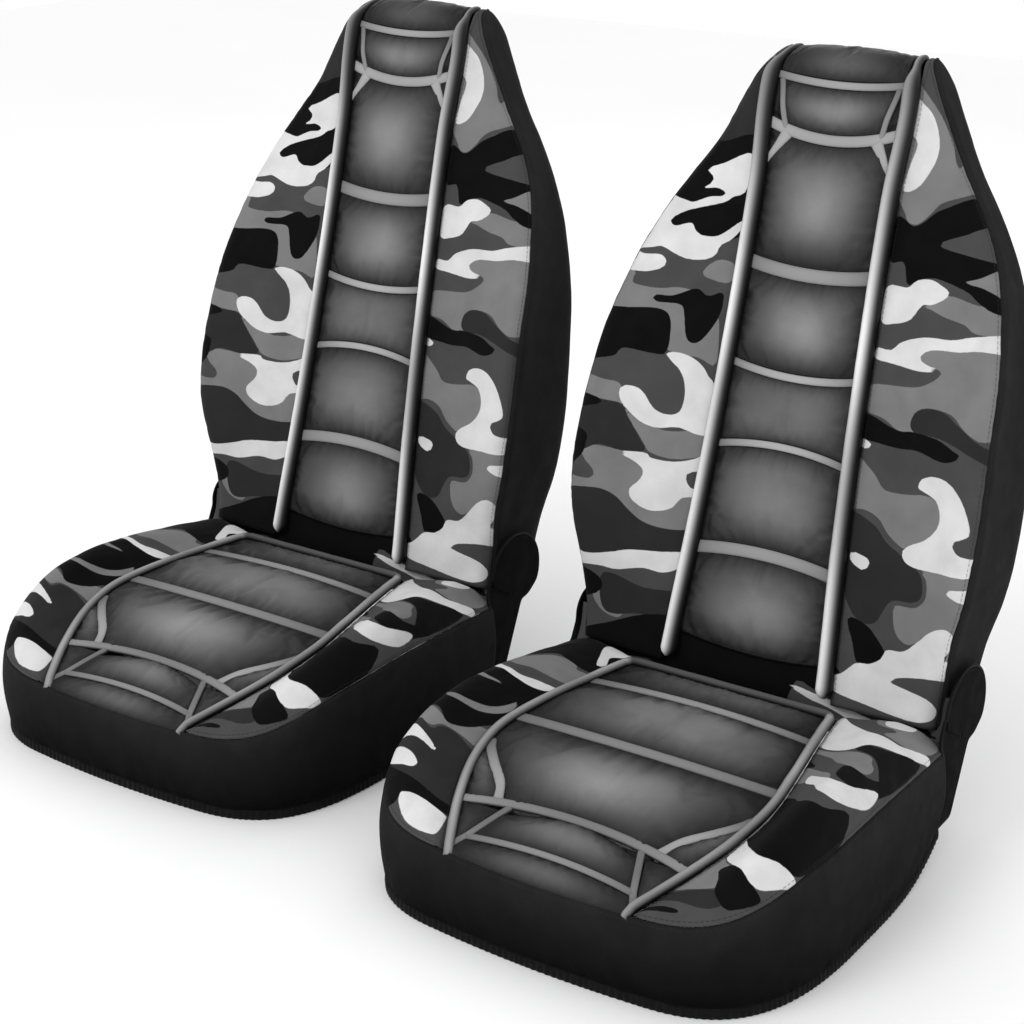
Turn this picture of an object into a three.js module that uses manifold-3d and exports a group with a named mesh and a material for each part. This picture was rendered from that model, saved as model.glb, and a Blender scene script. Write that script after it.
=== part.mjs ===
// Pair of fitted bucket-seat covers: a driver's and a passenger's cover, each a cushion cover and a
// backrest cover with sewn-on padded inserts, piping, elastic sides and an under-seat strap.
// Millimetres, +Z up. The seats face -Y, so an occupant's left is +X. Each cover is built about its own
// origin on the floor under the middle of the cushion, and the two stand side by side.
import * as THREE from "three";
import Module from "manifold-3d";

const wasm = await Module();
wasm.setup();

// ---- driving dimensions ----------------------------------------------------------------------------
const SEAT_SPACING = 671; // centre to centre of the two covers
const SEAT_STAGGER = 52; // how far the driver's cover stands forward of the passenger's
const DEPTH_SHIFT = 7.2; // brings the middle of the set's depth onto the origin
const FABRIC = 4; // camouflage panels
const ELASTIC = 3; // black side, rear and skirt panels
const SEAM_GAP = 0.5; // clearance left along a seam
const PIPE_GAP = 2.2; // clearance beside a pipe

// backrest, measured along its front face from the crease (v) and square to it (depth)
const BACK_ANGLE = THREE.MathUtils.degToRad(14);
const BACK_BASE_Y = 92;
const BACK_BASE_Z = 157;
const BACK_LENGTH = 770;
const BACK_HEM = 10; // where the front panels start, above the crease
const TOP_RADIUS = 45; // roll over the top of the headrest
const ROLL_START = BACK_LENGTH - TOP_RADIUS;
const EDGE_RADIUS = 22; // front edge of the side bolsters
const REAR_RADIUS = 45; // rear corners of the backrest
const SEAM_TURN = THREE.MathUtils.degToRad(54); // how far the camouflage wraps round the front edge
const REAR_TURN = THREE.MathUtils.degToRad(60); // how far the side panels wrap round the rear corner
const REAR_SEAM_TURN = THREE.MathUtils.degToRad(2); // clearance at the rear seam
const backHalfWidth = profile([
  [10, 246], [60, 249], [110, 255], [170, 268], [230, 273], [290, 272], [350, 268], [412, 262], [470, 250],
  [504, 241], [532, 231], [564, 217], [600, 196], [650, 163], [710, 132], [744, 114], [760, 103], [770, 95],
]);
const backThickness = profile([
  [10, 142], [200, 134], [350, 124], [500, 111], [600, 100], [725, 90], [770, 90],
]);
const backBolster = profile([
  [10, -12], [44, -10], [130, 18], [200, 34], [350, 33], [470, 11], [564, -8], [650, -12], [710, -4],
  [770, 0],
]);
const backPipeX = profile([[10, 107], [50, 105], [200, 96], [405, 88.5], [600, 86], [745, 88], [770, 80]]);
const BACK_PIPE_RADIUS = 10;
const BACK_PIPE_PROUD = 4;

// padded insert of the backrest, from the lumbar pad up: where each pad starts, and the last one's end
const BACK_PADS = [
  ["lumbar", 26], ["mid_lower", 161], ["middle", 291], ["mid_upper", 387], ["upper", 509],
  ["headrest", 677], ["headrest_top", 724],
];
const BACK_PADS_END = ROLL_START + TOP_RADIUS * THREE.MathUtils.degToRad(88);
const PAD_BASE = 3;
const BACK_PAD_CROWN = 9;

// cushion, in plan: the rim is the seam between the camouflage top and the skirt
const RIM_FRONT_X = 130;
const RIM_FRONT_Y = -358;
const RIM_BOW = 6; // how far the front bulges forward at its middle
const RIM_FRONT_SHARE = 0.22; // share of the rim's parameter taken by the front
const RIM_LIFT = 5.5; // the top's edge above the seam, so that its thickness clears the skirt
const RIM_REAR_X = 262;
const RIM_REAR_Y = 95;
const sideRim = new THREE.Path();
sideRim.moveTo(RIM_REAR_X, RIM_REAR_Y);
sideRim.quadraticCurveTo(270, 0, 272, -150);
sideRim.bezierCurveTo(272, -290, 235, -352, RIM_FRONT_X, RIM_FRONT_Y);
const seamHeight = profile([
  [-364, 101], [-345, 107], [-300, 126], [-250, 143], [-180, 152], [0, 152], [95, 146],
]);
const hemHeight = profile([[-364, 0], [-60, 0], [-40, 0], [20, 6], [60, 18], [95, 34]]);
const HEM_HEIGHT = 14;
const HEM_THICKNESS = 7;
const SKIRT_BULGE = 6;
const insertHalfWidth = profile([
  [-358, 112], [-345, 119], [-290, 147], [-230, 169], [-170, 177], [-100, 168], [0, 148], [58, 138],
  [100, 138],
]);
const cushionTop = profile([
  [-360, 98], [-345, 105], [-330, 111], [-289, 126], [-200, 152], [-138, 162], [-14, 169], [58, 169],
  [75, 167], [86, 160], [95, 146],
]);
// side bolsters above the line from the insert to the rim
const crestHeight = profile([[-360, 0], [-300, 11], [-240, 27], [-160, 36], [-60, 33], [30, 23], [95, 17]]);
const INSERT_REAR_Y = 58;
const SEAT_PIPE_RADIUS = 6;
const SEAT_PIPE_PROUD = 3;
const SEAT_PADS = [
  ["rear", 46, -13.5], ["second", -14.5, -137.5], ["centre", -138.5, -288.5], ["front", -289.5, null],
];
const SEAT_PAD_CROWN = 8;
const WING_REAR_Y = 92;

// recliner
const PIVOT_Y = 150;
const PIVOT_Z = 178;
const GUSSET_RADIUS = 56;
const GUSSET_INNER_X = 258.5;
const GUSSET_THICKNESS = 3.5;

// strap and side-release buckle under the cushion
const STRAP_Y = -120;
const STRAP_WIDTH = 25;
const STRAP_THICKNESS = 2;
const BUCKLE_Z = 9;
const BUCKLE_TRAVEL = 34;

// ---- helpers ---------------------------------------------------------------------------------------
// A smooth curve of value against position, through the points that the outline needs.
function profile(points) {
  const positions = points.map((point) => point[0]);
  const values = points.map((point) => point[1]);
  const spline = new THREE.CubicInterpolant(positions, values, 1);
  const last = positions.length - 1;
  return (at) => spline.evaluate(THREE.MathUtils.clamp(at, positions[0], positions[last]))[0];
}

function steps(from, to, count) {
  return Array.from({ length: count + 1 }, (_, i) => THREE.MathUtils.lerp(from, to, i / count));
}

function smooth(t) {
  const held = THREE.MathUtils.clamp(t, 0, 1);
  return held * held * (3 - 2 * held);
}

function normalAt(place, a, b) {
  const step = 1e-3;
  const across = place(a + step, b).sub(place(a - step, b));
  const along = place(a, b + step).sub(place(a, b - step));
  return across.cross(along).normalize();
}

// A closed slab over the surface place(a, b), from `inner` to `outer` along the surface's normal.
function slab(across, along, place, outer, inner) {
  const geometry = new THREE.BoxGeometry(1, 1, 1, across.length - 1, along.length - 1, 1);
  const position = geometry.attributes.position;
  const corner = new THREE.Vector3();
  for (let i = 0; i < position.count; i += 1) {
    corner.fromBufferAttribute(position, i);
    const a = across[Math.round((corner.x + 0.5) * (across.length - 1))];
    const b = along[Math.round((corner.y + 0.5) * (along.length - 1))];
    const offset = corner.z > 0 ? outer(a, b) : inner(a, b);
    const at = place(a, b).addScaledVector(normalAt(place, a, b), offset);
    position.setXYZ(i, at.x, at.y, at.z);
  }
  return geometry;
}

function sheet(across, along, place, thickness) {
  return slab(across, along, place, () => 0, () => -thickness);
}

// A round tube along a curve, with closed ends.
function tube(points, radius, stepCount) {
  const section = new THREE.Shape();
  section.absarc(0, 0, radius, 0, 2 * Math.PI, false);
  const path = new THREE.CatmullRomCurve3(points, false, "centripetal");
  return new THREE.ExtrudeGeometry(section, { steps: stepCount, curveSegments: 4, extrudePath: path });
}

// The same piece for the other side of the cover.
function mirrored(geometry) {
  const copy = geometry.index ? geometry.toNonIndexed() : geometry.clone();
  copy.scale(-1, 1, 1);
  const position = copy.attributes.position;
  const first = new THREE.Vector3();
  const second = new THREE.Vector3();
  for (let i = 0; i < position.count; i += 3) {
    first.fromBufferAttribute(position, i);
    second.fromBufferAttribute(position, i + 1);
    position.setXYZ(i, second.x, second.y, second.z);
    position.setXYZ(i + 1, first.x, first.y, first.z);
  }
  return copy;
}

function block(sizeX, sizeY, sizeZ, x, y, z) {
  return new THREE.BoxGeometry(sizeX, sizeY, sizeZ).translate(x, y, z);
}

// A geometry as a solid that can be cut.
function solid(geometry) {
  const faces = geometry.index ? geometry.toNonIndexed() : geometry;
  const count = faces.attributes.position.count;
  const mesh = new wasm.Mesh({
    numProp: 3,
    vertProperties: new Float32Array(faces.attributes.position.array),
    triVerts: Uint32Array.from({ length: count }, (_, i) => i),
  });
  mesh.merge();
  return new wasm.Manifold(mesh);
}

function fromSolid(cut) {
  const mesh = cut.getMesh();
  const geometry = new THREE.BufferGeometry();
  geometry.setAttribute("position", new THREE.BufferAttribute(new Float32Array(mesh.vertProperties), 3));
  geometry.setIndex(Array.from(mesh.triVerts));
  return geometry;
}

// ---- materials -------------------------------------------------------------------------------------
const camouflage = () => new THREE.MeshStandardMaterial({ color: 0x808080, roughness: 0.85, metalness: 0 });
const padding = () => new THREE.MeshStandardMaterial({ color: 0x4a4a4a, roughness: 0.55, metalness: 0 });
const piping = () => new THREE.MeshStandardMaterial({ color: 0xa8a8a8, roughness: 0.4, metalness: 0 });
const knit = () => new THREE.MeshStandardMaterial({ color: 0x1c1c1c, roughness: 0.9, metalness: 0 });
const elastic = () => new THREE.MeshStandardMaterial({ color: 0x0d0d0d, roughness: 0.8, metalness: 0 });
const webbing = () => new THREE.MeshStandardMaterial({ color: 0x161616, roughness: 0.8, metalness: 0 });
const plastic = () => new THREE.MeshStandardMaterial({ color: 0x121212, roughness: 0.45, metalness: 0 });

// ---- backrest --------------------------------------------------------------------------------------
function backPoint(x, v, depth) {
  return new THREE.Vector3(
    x,
    BACK_BASE_Y + v * Math.sin(BACK_ANGLE) + depth * Math.cos(BACK_ANGLE),
    BACK_BASE_Z + v * Math.cos(BACK_ANGLE) - depth * Math.sin(BACK_ANGLE),
  );
}

// The section of the backrest at a distance q up its face: above ROLL_START the face rolls over the top.
function backSection(q) {
  const turn = Math.max(0, (q - ROLL_START) / TOP_RADIUS);
  const v = turn > 0 ? ROLL_START + TOP_RADIUS * Math.sin(turn) : q;
  const front = TOP_RADIUS * (1 - Math.cos(turn));
  const rear = backThickness(v) - front;
  return {
    v,
    front,
    rear,
    half: backHalfWidth(v),
    bolster: backBolster(v) * Math.cos(turn),
    edge: Math.min(EDGE_RADIUS, 0.3 * (rear - front)),
    corner: Math.min(REAR_RADIUS, 0.4 * (rear - front)),
  };
}

// Rows shared by the wings, sides and rear, so that their facets meet along the seams.
const BACK_ROLL_END = ROLL_START + TOP_RADIUS * THREE.MathUtils.degToRad(66);
const BACK_ROWS = [...steps(BACK_HEM, ROLL_START, 9), ...steps(ROLL_START, BACK_ROLL_END, 3).slice(1)];

function backFace(x, q) {
  const s = backSection(q);
  const pipe = backPipeX(s.v);
  const rise = s.bolster * smooth((x - pipe) / (s.half - pipe));
  const past = Math.max(0, x - (s.half - s.edge));
  const turned = s.edge - Math.sqrt(Math.max(0, s.edge * s.edge - past * past));
  return backPoint(x, s.v, s.front - rise + turned);
}

function backWing() {
  const place = (u, q) => {
    const s = backSection(q);
    const inner = backPipeX(s.v) + BACK_PIPE_RADIUS + PIPE_GAP;
    const outer = s.half - s.edge * (1 - Math.sin(SEAM_TURN));
    return backFace(THREE.MathUtils.lerp(inner, outer, u), q);
  };
  return sheet([0, 0.3, 0.6, 0.85, 0.95, 1], BACK_ROWS, place, FABRIC);
}

// a runs 0..1 round the front edge, 1..2 along the side, 2..3 round the rear corner
function backSide() {
  const place = (a, q) => {
    const s = backSection(q);
    if (a < 1) {
      const turn = THREE.MathUtils.lerp(SEAM_TURN, Math.PI / 2, a);
      const depth = s.front - s.bolster + s.edge * (1 - Math.cos(turn));
      return backPoint(s.half - s.edge * (1 - Math.sin(turn)), s.v, depth);
    }
    if (a < 2) {
      const depth = THREE.MathUtils.lerp(s.front - s.bolster + s.edge, s.rear - s.corner, a - 1);
      return backPoint(s.half, s.v, depth);
    }
    const turn = REAR_TURN * (a - 2);
    return backPoint(s.half - s.corner * (1 - Math.cos(turn)), s.v, s.rear - s.corner * (1 - Math.sin(turn)));
  };
  return sheet([0.07, 1, 2, 2.5, 3], BACK_ROWS, place, ELASTIC);
}

function backRear() {
  const place = (u, q) => {
    const s = backSection(q);
    const reach = s.half - s.corner * (1 - Math.cos(REAR_TURN + REAR_SEAM_TURN));
    const x = -u * reach;
    const past = Math.max(0, Math.abs(x) - (s.half - s.corner));
    const turned = s.corner - Math.sqrt(s.corner * s.corner - past * past);
    return backPoint(x, s.v, s.rear - turned);
  };
  const ridge = ROLL_START + TOP_RADIUS * THREE.MathUtils.degToRad(86);
  return sheet([-1, -0.9, -0.7, 0, 0.7, 0.9, 1], [...BACK_ROWS, ridge], place, ELASTIC);
}

function backPipe() {
  const top = ROLL_START + TOP_RADIUS * THREE.MathUtils.degToRad(60);
  const points = [...steps(22, ROLL_START, 12), ...steps(ROLL_START, top, 3).slice(1)].map((q) => {
    const s = backSection(q);
    return backPoint(backPipeX(s.v), s.v, s.front - BACK_PIPE_PROUD);
  });
  return tube(points, BACK_PIPE_RADIUS, 14);
}

function backPad(from, to) {
  const place = (u, q) => {
    const s = backSection(q);
    return backPoint(u * (backPipeX(s.v) - BACK_PIPE_RADIUS - PIPE_GAP), s.v, s.front);
  };
  const crown = (u, q) => {
    const t = (q - from) / (to - from);
    const along = THREE.MathUtils.clamp(t, 0, 1);
    return 1 + BACK_PAD_CROWN * Math.cos(0.5 * Math.PI * u) * Math.sin(Math.PI * along);
  };
  return slab([-1, -0.6, 0, 0.6, 1], steps(from, to, 4), place, crown, () => -PAD_BASE);
}

// ---- cushion ---------------------------------------------------------------------------------------
// r is 0 at the middle of the front and 1 at the rear end of the left side.
function rimPoint(r) {
  const reach = Math.abs(r);
  if (reach < RIM_FRONT_SHARE) {
    const share = reach / RIM_FRONT_SHARE;
    return new THREE.Vector2(Math.sign(r) * RIM_FRONT_X * share, RIM_FRONT_Y - RIM_BOW * (1 - share * share));
  }
  const point = sideRim.getPointAt(THREE.MathUtils.clamp((1 - reach) / (1 - RIM_FRONT_SHARE), 0, 1));
  return new THREE.Vector2(Math.sign(r) * point.x, point.y);
}

// u runs from the insert's piping out to the rim, and t from the front of the cushion to its rear.
function seatWing() {
  const place = (u, t) => {
    const back = 1 - THREE.MathUtils.clamp(t, 0, 1);
    const outer = sideRim.getPointAt(THREE.MathUtils.lerp(0.006, 1, back));
    const innerY = THREE.MathUtils.lerp(WING_REAR_Y, RIM_FRONT_Y + 6, back);
    const innerX = insertHalfWidth(innerY) + SEAT_PIPE_RADIUS + PIPE_GAP;
    const crest = crestHeight(innerY) * Math.sin(Math.PI * Math.max(0, u) ** 1.5);
    return new THREE.Vector3(
      THREE.MathUtils.lerp(innerX, outer.x, u),
      THREE.MathUtils.lerp(innerY, outer.y, u),
      THREE.MathUtils.lerp(cushionTop(innerY), seamHeight(outer.y) + RIM_LIFT, smooth(u)) + crest,
    );
  };
  return sheet([0, 0.3, 0.55, 0.75, 0.9, 1], steps(0.003, 0.997, 11), place, FABRIC);
}

function tuckStrip() {
  const route = new THREE.CatmullRomCurve3([
    new THREE.Vector3(0, 66, 168), new THREE.Vector3(0, 80, 164), new THREE.Vector3(0, 92, 146),
    new THREE.Vector3(0, 97, 128), new THREE.Vector3(0, 99, 108),
  ]);
  const place = (u, t) => {
    const at = route.getPoint(THREE.MathUtils.clamp(t, 0, 1));
    return new THREE.Vector3(u * 145, at.y, at.z);
  };
  return sheet([-1, -0.5, 0, 0.5, 1], steps(0.002, 0.998, 5), place, FABRIC);
}

function seatPiping() {
  const turn = 12;
  const side = [...steps(-350, INSERT_REAR_Y - turn, 9)].map((y) => [insertHalfWidth(y), y]);
  const cornerX = insertHalfWidth(INSERT_REAR_Y) - turn;
  const corner = [35, 70].map((angle) => {
    const turned = THREE.MathUtils.degToRad(angle);
    return [cornerX + turn * Math.cos(turned), INSERT_REAR_Y - turn + turn * Math.sin(turned)];
  });
  const half = [...side, ...corner, [cornerX - 4, INSERT_REAR_Y]];
  const rest = [...half].reverse().map(([x, y]) => [-x, y]);
  const points = [...half, [0, INSERT_REAR_Y], ...rest].map(([x, y]) => {
    return new THREE.Vector3(x, y, cushionTop(y) + SEAT_PIPE_PROUD);
  });
  return tube(points, SEAT_PIPE_RADIUS, 34);
}

function seatPad(rear, front) {
  const place = (u, t) => {
    const nearY = rear;
    const rimY = RIM_FRONT_Y - RIM_BOW * (1 - u * u * 0.9) + 6.5;
    const farY = front ?? rimY;
    const y = THREE.MathUtils.lerp(nearY, farY, t);
    return new THREE.Vector3(-u * (insertHalfWidth(y) - SEAT_PIPE_RADIUS - PIPE_GAP), y, cushionTop(y));
  };
  const crown = (u, t) => 1 + SEAT_PAD_CROWN * Math.cos(0.5 * Math.PI * u) * Math.sin(Math.PI * t);
  return slab([-1, -0.6, -0.2, 0.2, 0.6, 1], steps(0, 1, 4), place, crown, () => -PAD_BASE);
}

function skirt() {
  const place = (r, h) => {
    const rim = rimPoint(THREE.MathUtils.clamp(r, -1, 1));
    const low = hemHeight(rim.y) + HEM_HEIGHT + SEAM_GAP;
    const high = seamHeight(rim.y) - SEAM_GAP;
    const outward = new THREE.Vector2(rim.x, rim.y + 100).normalize();
    rim.addScaledVector(outward, SKIRT_BULGE * Math.sin(Math.PI * h));
    return new THREE.Vector3(rim.x, rim.y, THREE.MathUtils.lerp(low, high, h));
  };
  return sheet(steps(-0.9995, 0.9995, 24), steps(0, 1, 3), place, ELASTIC);
}

function seatHem() {
  const place = (r, h) => {
    const rim = rimPoint(THREE.MathUtils.clamp(r, -1, 1));
    return new THREE.Vector3(rim.x, rim.y, hemHeight(rim.y) + HEM_HEIGHT * h);
  };
  const across = steps(-0.9995, 0.9995, 24);
  const geometry = new THREE.BoxGeometry(1, 1, 1, across.length - 1, 1, 1);
  const position = geometry.attributes.position;
  for (let i = 0; i < position.count; i += 1) {
    const r = across[Math.round((position.getX(i) + 0.5) * (across.length - 1))];
    const at = place(r, position.getY(i) + 0.5);
    const normal = normalAt(place, r, 0.5);
    const offset = position.getZ(i) > 0 ? 1 : 1 - HEM_THICKNESS;
    position.setXYZ(i, at.x + normal.x * offset, at.y + normal.y * offset, at.z);
  }
  return geometry;
}

// ---- recliner gusset: an elastic flap with an arched top round the recline pivot ---------------------
function gusset() {
  const outline = new THREE.Shape();
  outline.moveTo(97, 50);
  outline.lineTo(126, 52);
  outline.lineTo(163, 137);
  outline.lineTo(180, 140);
  const from = THREE.MathUtils.degToRad(-26);
  const to = THREE.MathUtils.degToRad(188);
  outline.absarc(PIVOT_Y, PIVOT_Z, GUSSET_RADIUS, from, to, false);
  outline.lineTo(97, 152);
  outline.closePath();
  const settings = { depth: GUSSET_THICKNESS, bevelEnabled: false, curveSegments: 10 };
  const plate = new THREE.ExtrudeGeometry(outline, settings);
  // the outline's x is the cover's y, its y is the cover's z, and the plate's depth is the cover's x
  const axes = new THREE.Matrix4().makeBasis(
    new THREE.Vector3(0, 1, 0),
    new THREE.Vector3(0, 0, 1),
    new THREE.Vector3(1, 0, 0),
  );
  return plate.applyMatrix4(axes).translate(GUSSET_INNER_X, 0, 0);
}

// ---- strap and buckle ------------------------------------------------------------------------------
function strap(fromX, toX) {
  const place = (u, w) => {
    const x = THREE.MathUtils.lerp(fromX, toX, u);
    const lift = 16 * smooth((x - 150) / 105);
    return new THREE.Vector3(x, STRAP_Y + w * STRAP_WIDTH, BUCKLE_Z + 1 + lift);
  };
  return sheet(steps(0, 1, 8), [-0.5, 0.5], place, STRAP_THICKNESS);
}

function buckleSocket() {
  const body = solid(block(44, 34, 13, -24, STRAP_Y, BUCKLE_Z));
  const mouth = solid(block(30, 27, 6, -13, STRAP_Y, BUCKLE_Z));
  const windowLeft = solid(block(12, 6, 6, -16, STRAP_Y - 16, BUCKLE_Z));
  const windowRight = solid(block(12, 6, 6, -16, STRAP_Y + 16, BUCKLE_Z));
  const strapSlot = solid(block(4, 27, 20, -38, STRAP_Y, BUCKLE_Z));
  return fromSolid(body.subtract(mouth).subtract(windowLeft).subtract(windowRight).subtract(strapSlot));
}

function bucklePlug() {
  const outline = new THREE.Shape();
  const half = [
    [40, 15], [2, 15], [1, 11.5], [-12, 12.6], [-20, 9], [-20, 7.5], [-4, 8], [0, 6], [0, 2.5], [-22, 2.5],
  ];
  half.forEach(([x, y], i) => (i === 0 ? outline.moveTo(x, y) : outline.lineTo(x, y)));
  [...half].reverse().forEach(([x, y]) => outline.lineTo(x, -y));
  outline.closePath();
  const slot = new THREE.Path();
  slot.moveTo(32, -13);
  slot.lineTo(36, -13);
  slot.lineTo(36, 13);
  slot.lineTo(32, 13);
  slot.closePath();
  outline.holes.push(slot);
  const plate = new THREE.ExtrudeGeometry(outline, { depth: 4, bevelEnabled: false });
  return plate.translate(0, STRAP_Y, BUCKLE_Z - 2);
}

// ---- assembly --------------------------------------------------------------------------------------
function cover(prefix, x, y) {
  const group = new THREE.Group();
  group.position.set(x, y, 0);
  const add = (name, geometry, material) => {
    const piece = new THREE.Mesh(geometry, material);
    piece.name = `${prefix}_${name}`;
    group.add(piece);
  };
  const addPair = (name, geometry, material) => {
    add(`${name}_left`, geometry, material());
    add(`${name}_right`, mirrored(geometry), material());
  };
  addPair("back_wing", backWing(), camouflage);
  addPair("back_side", backSide(), knit);
  add("back_rear", backRear(), knit());
  addPair("back_pipe", backPipe(), piping);
  BACK_PADS.forEach(([name, from], i) => {
    const to = i + 1 < BACK_PADS.length ? BACK_PADS[i + 1][1] : BACK_PADS_END;
    add(`back_pad_${name}`, backPad(from + SEAM_GAP, to - SEAM_GAP), padding());
  });
  addPair("seat_wing", seatWing(), camouflage);
  add("seat_tuck_strip", tuckStrip(), camouflage());
  add("seat_piping", seatPiping(), piping());
  SEAT_PADS.forEach(([name, rear, front]) => add(`seat_pad_${name}`, seatPad(rear, front), padding()));
  add("seat_skirt", skirt(), knit());
  add("seat_hem", seatHem(), elastic());
  addPair("recliner_gusset", gusset(), elastic);
  add("strap_left", strap(46 + BUCKLE_TRAVEL, 266), webbing());
  add("strap_right", mirrored(strap(48, 266)), webbing());
  add("buckle_socket", buckleSocket(), plastic());
  add("buckle_plug", bucklePlug(), plastic());
  return group;
}

const set = new THREE.Group();
set.position.y = DEPTH_SHIFT;
set.add(cover("driver", SEAT_SPACING / 2, -SEAT_STAGGER / 2));
set.add(cover("passenger", -SEAT_SPACING / 2, SEAT_STAGGER / 2));

export default set;
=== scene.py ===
# Looks of a pair of bucket-seat covers: camouflage panels, padded inserts, piping, elastic sides and skirts.
# Pieces are built about one cover's own origin in millimetres, and placed for the driver's and the
# passenger's cover, which are alike.
import math
import bpy
import numpy as np
from mathutils import Matrix, Vector
from mathutils.bvhtree import BVHTree


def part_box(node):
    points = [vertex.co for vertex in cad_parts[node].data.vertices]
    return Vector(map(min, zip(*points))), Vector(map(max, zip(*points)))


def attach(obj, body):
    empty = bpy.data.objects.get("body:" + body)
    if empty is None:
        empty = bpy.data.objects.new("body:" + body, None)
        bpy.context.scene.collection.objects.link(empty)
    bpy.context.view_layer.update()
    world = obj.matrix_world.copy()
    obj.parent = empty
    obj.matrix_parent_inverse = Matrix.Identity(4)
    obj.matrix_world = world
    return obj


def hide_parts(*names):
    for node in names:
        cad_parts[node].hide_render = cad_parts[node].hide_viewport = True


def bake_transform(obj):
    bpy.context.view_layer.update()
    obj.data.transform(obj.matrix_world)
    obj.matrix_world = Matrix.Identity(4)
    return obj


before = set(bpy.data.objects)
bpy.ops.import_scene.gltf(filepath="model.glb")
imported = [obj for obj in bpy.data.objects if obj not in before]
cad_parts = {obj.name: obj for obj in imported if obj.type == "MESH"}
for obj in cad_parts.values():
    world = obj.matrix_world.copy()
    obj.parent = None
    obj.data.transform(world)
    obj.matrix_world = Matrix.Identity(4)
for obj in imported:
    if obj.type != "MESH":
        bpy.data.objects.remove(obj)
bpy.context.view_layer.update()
COVERS = ("driver", "passenger")
HEM_FRONT = -365  # the hem's front face in a cover's own frame


def cover_offset(prefix):
    low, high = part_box(f"{prefix}_seat_hem")
    return np.array([(low.x + high.x) * 500, low.y * 1000 - HEM_FRONT, 0.0])


OFFSET = {prefix: cover_offset(prefix) for prefix in COVERS}

# ---- camera and light --------------------------------------------------------------------------------
AZIMUTH, ELEVATION = math.radians(35.4), math.radians(20.1)
TARGET = Vector((0, 0.0072, 0.342))
DISTANCE, LENS, SHIFT_X, SHIFT_Y = 2.7135, 76.9, 0.0267, -0.0058
back_of_view = Vector((
    math.sin(AZIMUTH) * math.cos(ELEVATION), -math.cos(AZIMUTH) * math.cos(ELEVATION), math.sin(ELEVATION)))
camera = bpy.data.objects.new("camera", bpy.data.cameras.new("camera"))
bpy.context.scene.collection.objects.link(camera)
camera.location = TARGET + back_of_view * DISTANCE
camera.rotation_euler = back_of_view.to_track_quat("Z", "Y").to_euler()
camera.data.sensor_width = 36
camera.data.lens = LENS
camera.data.shift_x = SHIFT_X
camera.data.shift_y = SHIFT_Y
bpy.context.scene.camera = camera


def area_light(name, place, aim, size, power):
    light = bpy.data.objects.new(name, bpy.data.lights.new(name, "AREA"))
    bpy.context.scene.collection.objects.link(light)
    light.location = place
    light.rotation_euler = (Vector(place) - Vector(aim)).to_track_quat("Z", "Y").to_euler()
    light.data.shape = "DISK"
    light.data.size = size
    light.data.energy = power


area_light("key", (-0.6, -2.6, 3.0), (0, 0, 0.4), 1.8, 30)
area_light("fill", (3.2, -1.6, 1.6), (0, 0, 0.4), 2.2, 5)
area_light("rear", (-1.2, 3.2, 2.4), (0, 0, 0.4), 2.2, 10)
world = bpy.data.worlds.new("studio")
bpy.context.scene.world = world
world.use_nodes = True
world.node_tree.nodes["Background"].inputs["Color"].default_value = (1, 1, 1, 1)
world.node_tree.nodes["Background"].inputs["Strength"].default_value = 1.0
bpy.context.scene.view_settings.view_transform = "Standard"


# ---- number helpers ----------------------------------------------------------------------------------
def profile(*points):
    """The smooth curve that the CAD model uses through its measured points."""
    at, value = np.array(points, float).T
    last = len(at) - 1

    def evaluate(t):
        t = np.clip(np.asarray(t, float), at[0], at[last])
        i = np.clip(np.searchsorted(at, t, side="right"), 1, last)
        t0, t1 = at[i - 1], at[i]
        lower, upper = i - 2, i + 1
        t_lower = np.where(lower >= 0, at[np.maximum(lower, 0)], t1)
        v_lower = np.where(lower >= 0, value[np.maximum(lower, 0)], value[i])
        t_upper = np.where(upper <= last, at[np.minimum(upper, last)], t0)
        v_upper = np.where(upper <= last, value[np.minimum(upper, last)], value[i - 1])
        a = 0.5 * (t1 - t0) / (t0 - t_lower)
        b = 0.5 * (t1 - t0) / (t_upper - t1)
        p = (t - t0) / (t1 - t0)
        return (
            v_lower * a * (-p**3 + 2 * p**2 - p)
            + value[i - 1] * ((1 + a) * p**3 - (1.5 + 2 * a) * p**2 + (a - 0.5) * p + 1)
            + value[i] * (-(1 + b) * p**3 + (1.5 + b) * p**2 + 0.5 * p)
            + v_upper * b * (p**3 - p**2)
        )

    return evaluate


def smooth(t):
    t = np.clip(t, 0, 1)
    return t * t * (3 - 2 * t)


def lerp(a, b, t):
    return a + (b - a) * t


def vec(x, y, z):
    return np.stack(np.broadcast_arrays(x, y, z), axis=-1).astype(float)


def unit(v):
    return v / np.maximum(np.linalg.norm(v, axis=-1, keepdims=True), 1e-12)


def field(a, b, pitch_a, pitch_b, seed):
    """Smooth noise from -1 to 1 over the coordinates a and b."""
    rng = np.random.default_rng(seed)
    lattice = rng.uniform(-1, 1, (64, 64))
    a, b = np.broadcast_arrays(a / pitch_a + 31.7, b / pitch_b + 17.3)
    i, j = np.floor(a).astype(int), np.floor(b).astype(int)
    s, t = smooth(a - i), smooth(b - j)
    near = lerp(lattice[i % 64, j % 64], lattice[(i + 1) % 64, j % 64], s)
    far = lerp(lattice[i % 64, (j + 1) % 64], lattice[(i + 1) % 64, (j + 1) % 64], s)
    return lerp(near, far, t)


def grid_normals(points):
    across = np.gradient(points, axis=0)
    along = np.gradient(points, axis=1)
    return unit(np.cross(across, along))


def arc_lengths(points, axis):
    step = np.linalg.norm(np.diff(points, axis=axis), axis=-1)
    start = np.zeros_like(np.take(step, [0], axis=axis))
    return np.cumsum(np.concatenate([start, step], axis=axis), axis=axis)


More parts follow.
